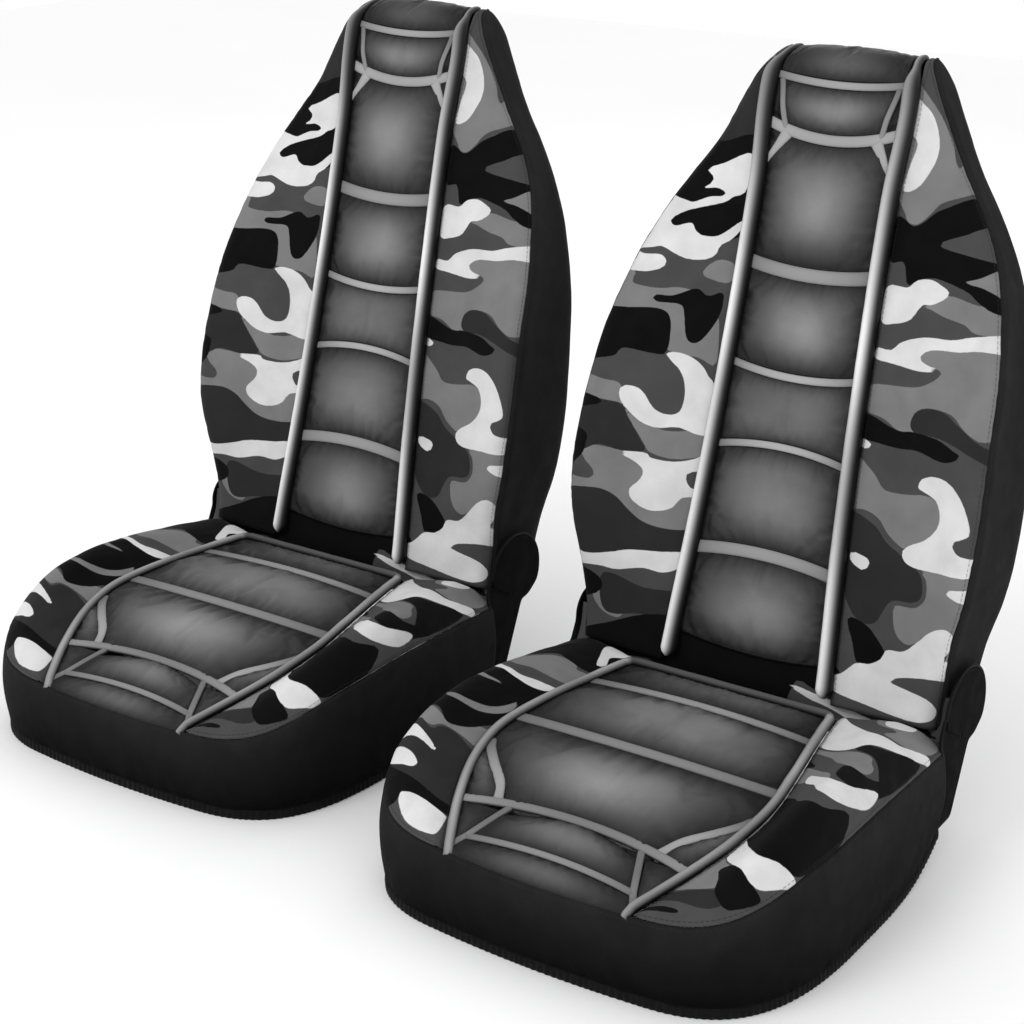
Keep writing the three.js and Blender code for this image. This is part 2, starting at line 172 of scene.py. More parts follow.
# ---- the cover's surfaces, as in the CAD model -------------------------------------------------------
BACK_ANGLE = math.radians(14)
BACK_BASE_Y, BACK_BASE_Z = 92, 157
TOP_RADIUS, ROLL_START = 45, 725
TOP_END = ROLL_START + TOP_RADIUS * math.radians(89)
EDGE_RADIUS, REAR_RADIUS = 22, 45
SEAM_TURN, REAR_TURN = math.radians(54), math.radians(61)
BACK_PIPE_RADIUS, BACK_PIPE_PROUD = 10, 4
SEAT_PIPE_RADIUS, SEAT_PIPE_PROUD = 6, 3
back_half_width = profile(
    (10, 246), (60, 249), (110, 255), (170, 268), (230, 273), (290, 272), (350, 268), (412, 262), (470, 250),
    (504, 241), (532, 231), (564, 217), (600, 196), (650, 163), (710, 132), (744, 114), (760, 103), (770, 95))
back_thickness = profile((10, 142), (200, 134), (350, 124), (500, 111), (600, 100), (725, 90), (770, 90))
back_bolster = profile(
    (10, -12), (44, -10), (130, 18), (200, 34), (350, 33), (470, 11), (564, -8), (650, -12), (710, -4),
    (770, 0))
back_pipe_x = profile((10, 107), (50, 105), (200, 96), (405, 88.5), (600, 86), (745, 88), (770, 80))
RIM_FRONT_X, RIM_FRONT_Y, RIM_BOW, RIM_FRONT_SHARE, RIM_LIFT = 130, -358, 6, 0.22, 5.5
seam_height = profile((-364, 101), (-345, 107), (-300, 126), (-250, 143), (-180, 152), (0, 152), (95, 146))
hem_height = profile((-364, 0), (-60, 0), (-40, 0), (20, 6), (60, 18), (95, 34))
insert_half_width = profile(
    (-358, 112), (-345, 119), (-290, 147), (-230, 169), (-170, 177), (-100, 168), (0, 148), (58, 138),
    (100, 138))
cushion_top = profile(
    (-360, 98), (-345, 105), (-330, 111), (-289, 126), (-200, 152), (-138, 162), (-14, 169), (58, 169),
    (75, 167), (86, 160), (95, 146))
crest_height = profile((-360, 0), (-300, 11), (-240, 27), (-160, 36), (-60, 33), (30, 23), (95, 17))
INSERT_REAR_Y, WING_REAR_Y = 58, 92
PIVOT_Y, PIVOT_Z = 150, 178
STRAP_Y, STRAP_WIDTH, BUCKLE_Z = -120, 25, 9
PRINTED_THICKNESS, KNIT_THICKNESS = 2.4, 2.0


def back_point(x, v, depth):
    return vec(
        x,
        BACK_BASE_Y + v * math.sin(BACK_ANGLE) + depth * math.cos(BACK_ANGLE),
        BACK_BASE_Z + v * math.cos(BACK_ANGLE) - depth * math.sin(BACK_ANGLE),
    )


class Section:
    """The backrest's section at a distance q up its face, which rolls over the top above ROLL_START."""

    def __init__(self, q):
        turn = np.maximum(0, (np.asarray(q, float) - ROLL_START) / TOP_RADIUS)
        self.v = np.where(turn > 0, ROLL_START + TOP_RADIUS * np.sin(turn), q)
        self.front = TOP_RADIUS * (1 - np.cos(turn))
        self.rear = back_thickness(self.v) - self.front
        self.half = back_half_width(self.v)
        self.bolster = back_bolster(self.v) * np.cos(turn)
        self.edge = np.minimum(EDGE_RADIUS, 0.3 * (self.rear - self.front))
        self.corner = np.minimum(REAR_RADIUS, 0.4 * (self.rear - self.front))
        self.pipe = back_pipe_x(self.v)


def back_face(x, q):
    s = Section(q)
    rise = s.bolster * smooth((np.abs(x) - s.pipe) / (s.half - s.pipe))
    past = np.maximum(0, np.abs(x) - (s.half - s.edge))
    turned = s.edge - np.sqrt(np.maximum(0, s.edge**2 - past**2))
    return back_point(x, s.v, s.front - rise + turned)


def bezier(t, *points):
    t = np.asarray(t, float)[:, None]
    layer = [np.broadcast_to(np.array(p, float), (len(t), 2)) for p in points]
    while len(layer) > 1:
        layer = [lerp(a, b, t) for a, b in zip(layer, layer[1:])]
    return layer[0]


rim_steps = np.linspace(0, 1, 300)
side_rim_points = np.vstack([
    bezier(rim_steps, (262, 95), (270, 0), (272, -150)),
    bezier(rim_steps, (272, -150), (272, -290), (235, -352), (RIM_FRONT_X, RIM_FRONT_Y))[1:],
])
side_rim_length = np.concatenate([[0], np.cumsum(np.linalg.norm(np.diff(side_rim_points, axis=0), axis=1))])
side_rim_length /= side_rim_length[-1]


def side_rim(share):
    return [np.interp(share, side_rim_length, side_rim_points[:, k]) for k in (0, 1)]


def rim_point(r):
    """The seam between the cushion's top and its skirt: r is 0 at the front's middle, 1 at the rear left."""
    reach = np.abs(r)
    share = reach / RIM_FRONT_SHARE
    x, y = side_rim(np.clip((1 - reach) / (1 - RIM_FRONT_SHARE), 0, 1))
    front = share < 1
    x = np.where(front, RIM_FRONT_X * share, x)
    y = np.where(front, RIM_FRONT_Y - RIM_BOW * (1 - share**2), y)
    return np.sign(r) * x, y


def seat_wing_point(u, t):
    back = 1 - t
    outer_x, outer_y = side_rim(back)
    inner_y = lerp(WING_REAR_Y, RIM_FRONT_Y + 6, back)
    inner_x = insert_half_width(inner_y) + SEAT_PIPE_RADIUS - 1
    crest = crest_height(inner_y) * np.sin(math.pi * np.clip(u, 0, 1) ** 1.5)
    z = lerp(cushion_top(inner_y), seam_height(outer_y) + RIM_LIFT * (1 - 0.6 * u), smooth(u)) + crest
    return vec(lerp(inner_x, outer_x, u), lerp(inner_y, outer_y, u), z)


# ---- mesh helpers ------------------------------------------------------------------------------------
def build(name, verts, faces, material, uv=None, values=None):
    """A mesh object from points in millimetres in a cover's own frame; uv and values are per vertex."""
    mesh = bpy.data.meshes.new(name)
    mesh.from_pydata((np.asarray(verts) / 1000).tolist(), [], faces)
    mesh.polygons.foreach_set("use_smooth", np.ones(len(mesh.polygons), bool))
    if uv is not None:
        layer = mesh.uv_layers.new(name="weave")
        corner = np.empty(len(mesh.loops), int)
        mesh.loops.foreach_get("vertex_index", corner)
        layer.data.foreach_set("uv", (np.asarray(uv)[corner] / 1000).astype(np.float32).ravel())
    for key, value in (values or {}).items():
        layer = mesh.attributes.new(key, "FLOAT", "POINT")
        layer.data.foreach_set("value", np.asarray(value, np.float32).ravel())
    mesh.materials.append(material)
    mesh.update()
    obj = bpy.data.objects.new(name, mesh)
    bpy.context.scene.collection.objects.link(obj)
    return obj


def grid_faces(n, m, start=0, flip=False):
    index = np.arange(n * m).reshape(n, m) + start
    quads = np.stack([index[:-1, :-1], index[1:, :-1], index[1:, 1:], index[:-1, 1:]], -1).reshape(-1, 4)
    return (quads[:, ::-1] if flip else quads).tolist()


def rim_faces(n, m):
    """Quads that join the edge of one n by m grid to that of a second one stored after it."""
    index = np.arange(n * m).reshape(n, m)
    loop = np.concatenate([index[:, 0], index[-1, 1:], index[-2::-1, -1], index[0, -2:0:-1]])
    following = np.roll(loop, -1)
    return np.stack([following, loop, loop + n * m, following + n * m], -1).tolist()


def shell(name, outer, inner, material, values=None, uv=None):
    """A closed piece between two grids of points; inner may be a thickness instead."""
    n, m = outer.shape[:2]
    if np.ndim(inner) < 3:
        inner = outer - grid_normals(outer) * np.asarray(inner, float)[..., None]
    verts = np.concatenate([outer.reshape(-1, 3), inner.reshape(-1, 3)])
    faces = grid_faces(n, m) + grid_faces(n, m, n * m, flip=True) + rim_faces(n, m)
    if uv is None:
        uv = np.stack([arc_lengths(outer, 0), arc_lengths(outer, 1)], -1)
    uv = np.reshape(uv, (-1, 2))
    twice = {key: np.tile(np.broadcast_to(value, (n, m)).ravel(), 2) for key, value in (values or {}).items()}
    return build(name, verts, faces, material, np.tile(uv, (2, 1)), twice)


def sweep(name, centres, sides, ups, section, material, scale=None, values=None):
    """A closed piece with one section, a loop of (side, up) in millimetres, at each station."""
    count, ring = len(centres), len(section)
    scale = np.ones((count, 2)) if scale is None else scale
    section = np.asarray(section, float)
    points = (
        centres[:, None]
        + sides[:, None] * (section[None, :, 0] * scale[:, :1])[..., None]
        + ups[:, None] * (section[None, :, 1] * scale[:, 1:])[..., None]
    )
    verts = points.reshape(-1, 3)
    index = np.arange(count * ring).reshape(count, ring)
    beside = np.roll(index, -1, axis=1)
    faces = np.stack([index[:-1], beside[:-1], beside[1:], index[1:]], -1).reshape(-1, 4).tolist()
    faces += [index[0, ::-1].tolist(), index[-1].tolist()]
    along = np.concatenate([[0], np.cumsum(np.linalg.norm(np.diff(centres, axis=0), axis=1))])
    around = np.concatenate([[0], np.cumsum(np.linalg.norm(np.diff(section, axis=0), axis=1))])
    uv = np.stack(np.meshgrid(along, around, indexing="ij"), -1).reshape(-1, 2)
    spread = {key: np.broadcast_to(value, (count, ring)).ravel() for key, value in (values or {}).items()}
    return build(name, verts, faces, material, uv, spread)


def frame_along(centres, ups):
    tangent = unit(np.gradient(centres, axis=0))
    side = unit(np.cross(ups, tangent))
    return side, unit(np.cross(tangent, side))


def round_section(radius_side, radius_up, count=20):
    turn = np.linspace(0, 2 * math.pi, count, endpoint=False)
    return [(radius_side * math.cos(a), radius_up * math.sin(a)) for a in turn]


def tape_section(width, crown, depth):
    """A flat band with a crowned top and its edges turned under."""
    turn = np.linspace(0.06, math.pi - 0.06, 11)
    top = [(0.5 * width * math.cos(a), crown * math.sin(a) ** 0.4) for a in turn]
    return top + [(-0.46 * width, -depth), (0.46 * width, -depth)]


def mirror(obj):
    """Turns a left-hand piece into the right-hand one."""
    obj.data.transform(Matrix.Scale(-1, 4, (1, 0, 0)))
    obj.data.flip_normals()


# ---- materials ---------------------------------------------------------------------------------------
def grey(level):
    """Linear colour of a grey given as it looks, 0 to 255."""
    c = level / 255
    c = c / 12.92 if c <= 0.04045 else ((c + 0.055) / 1.055) ** 2.4
    return (c, c, c, 1)


PRINT_TONES = ("camo_mid", "camo_dark", "camo_black", "camo_light")


class Shader:
    """A small builder for node materials."""

    def __init__(self, name, roughness, specular, sheen=0.0, sheen_roughness=0.5):
        self.material = bpy.data.materials.new(name)
        self.material.use_nodes = True
        self.tree = self.material.node_tree
        self.shader = self.tree.nodes["Principled BSDF"]
        self.shader.inputs["Roughness"].default_value = roughness
        self.shader.inputs["Specular IOR Level"].default_value = specular
        self.shader.inputs["Sheen Weight"].default_value = sheen
        self.shader.inputs["Sheen Roughness"].default_value = sheen_roughness

    def node(self, kind, inputs, **settings):
        """A new node, with another node's output or a value at each of the inputs named."""
        made = self.tree.nodes.new(kind)
        for key, value in settings.items():
            setattr(made, key, value)
        for socket, source in inputs.items():
            if hasattr(source, "is_output"):
                self.tree.links.new(source, made.inputs[socket])
            else:
                made.inputs[socket].default_value = source
        return made

    def attribute(self, name):
        return self.node("ShaderNodeAttribute", {}, attribute_name=name).outputs["Fac"]

    def weave(self):
        """The cloth's own coordinates across and along, in metres."""
        uv = self.node("ShaderNodeUVMap", {}, uv_map="weave").outputs["UV"]
        return self.node("ShaderNodeSeparateXYZ", {0: uv}).outputs[:2]

    def place(self):
        return self.node("ShaderNodeTexCoord", {}).outputs["Object"]

    def math(self, operation, a, b=0.0):
        return self.node("ShaderNodeMath", {0: a, 1: b}, operation=operation).outputs[0]

    def ramp(self, value, low, high, to_low=0.0, to_high=1.0):
        inputs = {"Value": value, "From Min": low, "From Max": high, "To Min": to_low, "To Max": to_high}
        return self.node("ShaderNodeMapRange", inputs).outputs["Result"]

    def mix(self, factor, a, b, blend="MIX"):
        inputs = {"Factor": factor, "A": a, "B": b}
        return self.node("ShaderNodeMix", inputs, data_type="RGBA", blend_type=blend).outputs["Result"]

    def shaded(self, tone, shade):
        """The tone times a plain number."""
        colour = self.node("ShaderNodeCombineColor", {0: shade, 1: shade, 2: shade}).outputs[0]
        return self.mix(1.0, tone, colour, "MULTIPLY")

    def noise(self, scale, detail=3.0):
        inputs = {"Vector": self.place(), "Scale": scale, "Detail": detail}
        return self.node("ShaderNodeTexNoise", inputs).outputs["Fac"]

    def patches(self, scale, low, high, detail=3.0):
        """Soft patches that vary from low to high."""
        return self.ramp(self.noise(scale, detail), 0.3, 0.7, low, high)

    def cells(self, scale):
        inputs = {"Vector": self.place(), "Scale": scale}
        return self.node("ShaderNodeTexVoronoi", inputs).outputs["Distance"]

    def ridges(self, coordinate, pitch):
        """A wave from 0 to 1 along a coordinate in metres."""
        turned = self.math("MULTIPLY", coordinate, 2 * math.pi / pitch)
        return self.ramp(self.math("SINE", turned), -1, 1)

    def stitches(self, offset=4.5, pitch=6.0, half_width=0.6):
        """1 on a line of stitches that runs beside a seam, from the seam_off and seam_along attributes."""
        off = self.math("ABSOLUTE", self.math("SUBTRACT", self.attribute("seam_off"), offset))
        line = self.ramp(off, half_width * 1.3, half_width * 0.7)
        phase = self.math("FRACT", self.math("DIVIDE", self.attribute("seam_along"), pitch))
        dash = self.math("ABSOLUTE", self.math("SUBTRACT", phase, 0.5))
        return self.math("MULTIPLY", line, self.ramp(dash, 0.36, 0.3))

    def finish(self, tone, roughness, *bumps):
        """Links the tone, the roughness and the bumps, which are (height, depth in metres, strength)."""
        inputs = {}
        for height, depth, strength in bumps:
            inputs.update({"Height": height, "Distance": depth, "Strength": strength})
            inputs["Normal"] = self.node("ShaderNodeBump", inputs).outputs["Normal"]
        self.tree.links.new(inputs["Normal"], self.shader.inputs["Normal"])
        self.tree.links.new(tone, self.shader.inputs["Base Color"])
        if roughness is not None:
            self.tree.links.new(roughness, self.shader.inputs["Roughness"])
        return self.material


def camouflage_material():
    s = Shader("camouflage_fabric", 0.82, 0.07, sheen=0.02, sheen_roughness=0.45)
    tone = grey(70)
    for key, level in zip(PRINT_TONES, (120, 42, 8, 214)):
        edge = s.math("ADD", s.attribute(key), s.ramp(s.noise(160, 2), 0, 1, -0.5, 0.5))
        tone = s.mix(s.ramp(edge, -0.35, 0.35), tone, grey(level))
    u, v = s.weave()
    thread = s.math("MULTIPLY", s.ridges(u, 0.0011), s.ridges(v, 0.0011))
    mottle = s.patches(26, 0.9, 1.08, 4)
    tone = s.shaded(tone, s.math("MULTIPLY", mottle, s.ramp(thread, 0, 1, 0.93, 1.05)))
    stitch = s.stitches()
    tone = s.mix(s.math("MULTIPLY", stitch, 0.45), tone, grey(40))
    folds = s.noise(55)
    return s.finish(tone, s.patches(40, 0.74, 0.88), (thread, 0.00025, 0.5), (folds, 0.0012, 0.35),
                    (stitch, 0.0006, 0.8))


def pad_material():
    s = Shader("pad_leatherette", 0.5, 0.2)
    # the pad's attribute is painted light: a painted highlight at each pad's middle, painted shade towards its
    # edges
    tone = s.mix(s.attribute("pad_tone"), grey(6), grey(134))
    tone = s.shaded(tone, s.ramp(s.noise(18, 5), 0.35, 0.65, 0.88, 1.1))
    grain, creases = s.cells(900), s.noise(120, 4)
    stitch = s.stitches(offset=3.2, pitch=5.0, half_width=0.5)
    tone = s.mix(s.math("MULTIPLY", stitch, 0.3), tone, grey(70))
    return s.finish(tone, s.patches(60, 0.4, 0.56, 4), (grain, 0.0004, 0.35), (creases, 0.001, 0.25),
                    (stitch, 0.0006, 0.8))


def satin_material(name, low, high):
    s = Shader(name, 0.42, 0.15)
    # the attribute is painted light: painted highlight towards the high grey, painted shade towards the low
    # grey
    tone = s.mix(s.attribute("satin_painted_light"), grey(low), grey(high))
    u, v = s.weave()
    threads = s.ridges(s.math("ADD", u, s.math("MULTIPLY", v, 0.5)), 0.0009)
    tone = s.mix(s.math("MULTIPLY", threads, 0.12), tone, grey(30))
    return s.finish(tone, s.patches(90, 0.32, 0.46), (threads, 0.0002, 0.4), (s.noise(140), 0.0008, 0.3))


def knit_material():
    s = Shader("stretch_knit", 0.82, 0.04, sheen=0.01)
    # the knit's attribute holds its own uneven tone and also painted shade and painted highlight
    tone = s.mix(s.attribute("knit_tone_and_shade"), grey(4), grey(46))
    u, v = s.weave()
    wale = s.ridges(u, 0.0016)
    course = s.ridges(s.math("ADD", v, s.math("MULTIPLY", wale, 0.0004)), 0.0013)
    loops = s.math("MULTIPLY", wale, course)
    between_loops = s.math("MULTIPLY", s.ramp(loops, 0, 1, 0.5, 0), s.patches(30, 0.3, 1, 4))
    tone = s.mix(between_loops, tone, grey(4))
    stitch = s.stitches()
    tone = s.mix(s.math("MULTIPLY", stitch, 0.35), tone, grey(50))
    return s.finish(tone, s.patches(50, 0.72, 0.88), (loops, 0.0004, 0.6), (s.noise(38), 0.002, 0.3),
                    (stitch, 0.0006, 0.8))


def elastic_material():
    s = Shader("elastic", 0.7, 0.1, sheen=0.02, sheen_roughness=0.4)
    u, v = s.weave()
    ribs = s.ridges(v, 0.0022)
    tone = s.mix(s.math("MULTIPLY", ribs, s.patches(60, 0.4, 1)), grey(4), grey(20))
    return s.finish(tone, s.patches(80, 0.55, 0.72), (s.ridges(u, 0.0012), 0.0002, 0.4), (ribs, 0.0008, 0.6))


def webbing_material():
    s = Shader("webbing", 0.6, 0.15, sheen=0.03, sheen_roughness=0.4)
    u, v = s.weave()
    twill = s.ridges(s.math("ADD", u, s.math("MULTIPLY", v, 0.8)), 0.0022)
    tone = s.mix(s.math("MULTIPLY", twill, s.patches(70, 0.4, 1)), grey(10), grey(48))
    return s.finish(tone, s.patches(80, 0.48, 0.64), (s.ridges(v, 0.0011), 0.0002, 0.4), (twill, 0.0005, 0.6))


def plastic_material():
    s = Shader("buckle_plastic", 0.4, 0.35)
    tone = s.mix(s.patches(90, 0, 1, 4), grey(16), grey(30))
    return s.finish(tone, s.patches(130, 0.34, 0.5), (s.cells(1800), 0.00015, 0.35),
                    (s.noise(220), 0.0002, 0.25))


def floor_material():
    s = Shader("studio_floor", 0.75, 0.2)
    tone = s.mix(s.patches(1.5, 0, 1, 4), grey(250), grey(252))
    return s.finish(tone, None, (s.noise(60, 4), 0.0006, 0.15))


CAMOUFLAGE = camouflage_material()
PADDING = pad_material()
SATIN = satin_material("satin_piping", 20, 250)
BAND = satin_material("satin_band", 52, 172)
KNIT = knit_material()
ELASTIC = elastic_material()
WEBBING = webbing_material()
PLASTIC = plastic_material()


# ---- the print: the same on both covers --------------------------------------------------------------
# Each shape is its tone and its outline in millimetres on the panel: across from the cover's middle, then up
# the backrest's face or back along the cushion. mid, dark, black and light are printed over each other in
# that order; grey is mid, and base the cloth's own tone, over all shapes listed before them.
PRINTS = {
    "back_right": """
mid 230 478 214 475 214 462 185 460 160 465 140 462 112 440 106 420 104 380 125 385 160 388 163 410 165 430
    180 436 210 432 238 426
mid 135 490 120 505 100 502 102 480 130 482
mid 255 342 225 340 205 337 195 310 150 290 100 300 100 272 120 261 140 257 160 260 167 265 177 280 190 295
    202 312 235 317 255 320
mid 238 256 195 257 167 245 120 225 98 225 96 177 135 171 160 174 177 185 195 200 220 205 262 192 262 214
    227 215 222 226 235 240
mid 215 70 190 81 172 72 172 57 182 45 205 50
mid 116 756 98 756 92 738 104 730
dark 92 745 120 738 160 655 165 640 100 648
dark 262 190 220 205 195 200 177 185 160 174 135 170 92 175 90 150 150 128 190 118 225 112 262 118
dark 247 307 205 315 192 300 175 275 167 262 195 257 220 260 240 250 262 265
dark 200 100 150 92 95 96 95 60 150 58 190 48 205 60
black 90 652 140 646 160 642 200 575 195 530 150 525 92 545
black 186 452 165 454 140 467 125 460 108 467 108 440 122 410 132 401 142 407 149 435 155 445 182 444
black 250 425 210 432 180 436 165 430 160 410 161 385 175 381 210 382 220 370 262 362 262 395
black 266 318 235 318 225 310 262 300
black 266 275 238 272 235 260 240 240 266 225
black 252 100 215 97 202 82 215 67 245 62
black 195 35 155 55 120 65 70 68 70 -10 262 -10 262 4
black 110 175 100 180 90 172 92 160 105 165
light 100 635 135 620 154 612 151 607 145 602 146 595 154 588 137 590 126 586 129 581 142 579 154 574 165
    569 177 571 205 574 225 552 240 505 202 508 190 511 160 501 136 503 124 511 121 522 109 531 98 546 98
    556 124 534 140 531 147 532 154 536 161 544 180 538 187 544 177 554 160 562 125 574 115 582 100 592
light 250 499 210 499 190 501 181 495 182 487 192 481 210 477 250 479
light 161 384 150 387 135 385 120 377 110 365 100 350 100 295 135 297 157 292 175 295 190 305 202 317 206
    330 200 337 187 337 177 330 165 315 150 310 137 315 133 330 135 350 142 365 154 376
light 195 256 167 259 160 254 135 254 112 262 100 270 98 252 115 245 118 237 112 227 105 225 105 217 120 212
    130 197 147 190 162 191 176 200 179 212 169 225 167 237 177 246 192 252
light 266 126 225 120 195 127 170 136 135 141 112 146 104 142 104 135 112 125 130 116 155 116 185 107 210
    107 262 102
""",
    "back_left": """
mid 84 745 118 712 140 677 148 650 170 635 172 625 160 617 140 607 130 592 120 580 110 580 104 590 92 617 90
    690
mid 142 490 165 505 195 500 220 497 262 480 250 470 205 468 190 476 170 480 150 487
mid 149 432 160 442 215 450 262 452 262 370 242 352 220 360 200 375 170 377 155 367 161 355 157 345 142 344
    120 355 96 362 96 390 150 397 172 410 176 420 157 425
mid 94 305 120 290 135 275 160 275 190 280 205 275 211 260 209 245 197 230 180 220 172 214 150 225 135 240
    115 247 92 247
mid 200 197 262 197 270 180 270 90 232 92 239 115 230 134 215 127 200 110 187 105 175 115 170 135 172 147
    195 150 207 165 206 185
mid 150 640 160 655 175 640 200 600 180 615
dark 154 362 165 375 190 376 210 365 242 347 272 340 268 322 200 345 160 347
dark 96 240 130 232 150 215 172 205 198 190 202 165 190 155 165 150 150 120 130 118 112 140 96 190
black 96 535 96 585 115 577 127 585 135 595 150 605 172 617 195 610 215 590 240 545 255 500 222 493 200 502
    185 512 160 520 145 522 130 517 120 510 112 535
black 157 347 190 345 210 337 220 332 215 325 200 321 170 327 145 325 120 326 96 330 96 357 130 347 145 345
black 118 118 140 115 157 100 166 85 160 72 145 67 135 70 128 90
black 96 62 120 52 110 30 92 36
base 145 560 170 575 190 587 202 592 212 570 215 550 180 552
grey 179 522 195 530 215 542 240 532 235 508 200 519
light 88 740 97 722 115 705 125 682 127 660 122 640 112 620 98 615 100 640 105 670 90 690
light 98 505 120 507 130 517 145 520 157 515 165 510 164 502 150 492 140 490 130 472 115 465 98 465
light 98 434 115 434 125 445 150 455 180 457 205 465 262 475 262 452 215 450 190 445 160 442 149 432 157 425
    172 422 170 419 150 416 120 419 98 422
light 178 287 181 297 195 303 212 301 227 290 240 270 246 247 232 237 231 230 240 222 270 219 270 203 240
    197 220 197 190 196 176 200 171 210 180 220 197 230 209 245 211 260 205 275 195 281 185 284
light 109 195 120 194 131 190 131 182 124 177 110 185
light 230 180 270 184 270 165 240 170
light 97 40 120 50 135 67 150 70 162 80 167 92 185 95 200 110 215 127 230 134 240 125 237 110 230 95 262 92
    266 70 220 70 200 67 182 62 175 55 190 51 215 45 227 32 222 20 205 15 180 17 150 22 120 27 107 35
light 98 328 110 324 108 317 98 319
""",
    "seat_right": """
mid 205 -5 180 0 175 -7 157 -5 150 -32 185 -45 205 -55 225 -67 245 -55 260 -25 272 0 272 35 257 0 235 -40
mid 272 -170 260 -195 240 -210 217 -215 205 -200 197 -185 176 -176 174 -206 197 -212 217 -225 225 -237 250
    -230 272 -210
black 276 -20 262 -60 242 -84 225 -90 200 -86 178 -72 160 -70 160 -165 184 -165 200 -197 215 -217 230 -210
    250 -203 262 -185 276 -160
grey 276 -122 262 -150 250 -170 240 -176 222 -172 205 -155 194 -135 187 -115 184 -130 190 -147 205 -168 222
    -181 240 -184 258 -165 276 -145
grey 276 -50 262 -72 252 -98 242 -112 228 -117 208 -110 212 -115 230 -124 246 -119 257 -100 276 -62
black 140 98 150 10 190 0 208 0 235 -30 262 20 262 98
dark 272 -215 225 -240 215 -226 195 -215 165 -230 150 -300 215 -318 262 -290 272 -250
black 270 -262 256 -276 240 -290 222 -299 198 -303 170 -304 138 -300 136 -312 170 -316 204 -320 208 -328 228
    -332 246 -316
light 272 -5 260 -45 245 -70 230 -81 210 -80 190 -65 172 -57 170 -62 180 -75 200 -86 225 -91 242 -85 257 -65
    272 -30
light 276 -208 260 -226 240 -242 222 -250 204 -255 205 -260 226 -259 246 -254 262 -243 276 -228
light 272 -246 256 -260 236 -272 214 -281 206 -288 214 -293 234 -290 252 -280 266 -266
light 206 -320 204 -318 170 -316 146 -316 143 -319 138 -342 144 -349 170 -347 190 -338 204 -326
light 150 92 172 95 182 70 172 40 164 22 156 30 162 50 150 66
""",
    "seat_left": """
mid 145 -17 175 -27 195 -35 215 -42 235 -45 240 -55 247 -65 245 -85 230 -87 210 -75 190 -50 170 -35 145 -27
mid 136 -72 150 -60 175 -70 195 -85 215 -105 222 -120 195 -100 185 -92 187 -105 165 -100 138 -85
mid 137 -90 165 -112 185 -135 165 -125 134 -108
mid 120 -205 150 -232 170 -250 180 -265 190 -277 180 -282 195 -300 192 -310 165 -312 116 -310 110 -340 112
    -250
mid 235 -205 255 -190 268 -192 250 -207 240 -210
mid 190 98 250 98 258 60 240 28 215 30 222 50 200 55 188 70
black 207 -20 235 -10 262 30 266 -75 245 -50 235 -42 215 -37
black 138 -45 155 -45 175 -60 177 -67 165 -67 138 -58
black 225 -85 248 -85 264 -50 262 -112 240 -122 225 -110
black 128 -108 165 -125 195 -145 215 -170 245 -180 262 -150 272 -200 262 -250 245 -267 225 -269 210 -262 192
    -240 175 -215 150 -195 122 -172
black 181 -280 195 -278 215 -287 227 -295 240 -300 215 -322 195 -315 190 -300
black 105 -342 165 -340 160 -345 120 -349
dark 116 -309 150 -314 192 -312 210 -318 185 -332 120 -326
light 140 72 165 52 195 30 220 22 240 25 257 55 266 45 247 12 235 -5 215 -17 205 -32 185 -27 155 -12 140 12
light 185 -90 195 -97 215 -115 235 -127 250 -115 262 -80 266 -115 255 -150 242 -160 225 -152 210 -130 195
    -115 187 -105
light 122 -172 150 -195 175 -215 192 -240 210 -262 225 -269 262 -260 240 -290 225 -295 210 -287 192 -275 175
    -255 172 -245 150 -232 122 -205
light 118 -262 128 -258 132 -268 122 -276
light 198 95 225 95 230 75 220 60 206 58 198 72
""",
    # the crease strip: black all over as painted shade where it tucks down, with print shapes where its lip
    # shows
    "crease": """
black -260 -30 260 -30 260 140 -260 140
base 70 20 64 102 92 108 140 114 200 126 260 132 260 20
base -260 20 -150 20 -130 90 -170 112 -260 120
light 60 96 64 100 88 103 114 106 142 109 172 112 190 106 170 94 120 96 84 94
light -250 60 -190 66 -168 84 -190 96 -240 96
""",
}
PRINT_REACH = 20.0  # how far from a shape's edge its distance is kept


def print_shapes(key):
    """The tone and the corners of each shape of a print."""
    shapes = []
    for word in PRINTS[key].split():
        if word.isalpha():
            shapes.append((word, []))
        else:
            shapes[-1][1].append(float(word))
    return [(tone, np.reshape(numbers, (-1, 2))) for tone, numbers in shapes]


def outline_distance(x, y, corners):
    """Signed distance from points to the closed smooth outline through the corners, above 0 inside it."""
    before, after, next_after = (np.roll(corners, shift, axis=0) for shift in (1, -1, -2))
    t = np.linspace(0, 1, 5)[:-1, None, None]
    curve = 0.5 * (
        2 * corners + (after - before) * t + (2 * before - 5 * corners + 4 * after - next_after) * t**2
        + (3 * corners - before - 3 * after + next_after) * t**3)
    curve = curve.transpose(1, 0, 2).reshape(-1, 2)
    nearest = np.full(x.shape, 1e9)
    inside = np.zeros(x.shape, bool)
    for (ax, ay), (bx, by) in zip(curve, np.roll(curve, -1, axis=0)):
        dx, dy = bx - ax, by - ay
        share = np.clip(((x - ax) * dx + (y - ay) * dy) / max(dx * dx + dy * dy, 1e-9), 0, 1)
        nearest = np.minimum(nearest, (x - ax - share * dx) ** 2 + (y - ay - share * dy) ** 2)
        if ay != by:
            inside ^= ((ay > y) != (by > y)) & (x < ax + dx * (y - ay) / (by - ay))
    return np.where(inside, 1, -1) * np.sqrt(nearest)


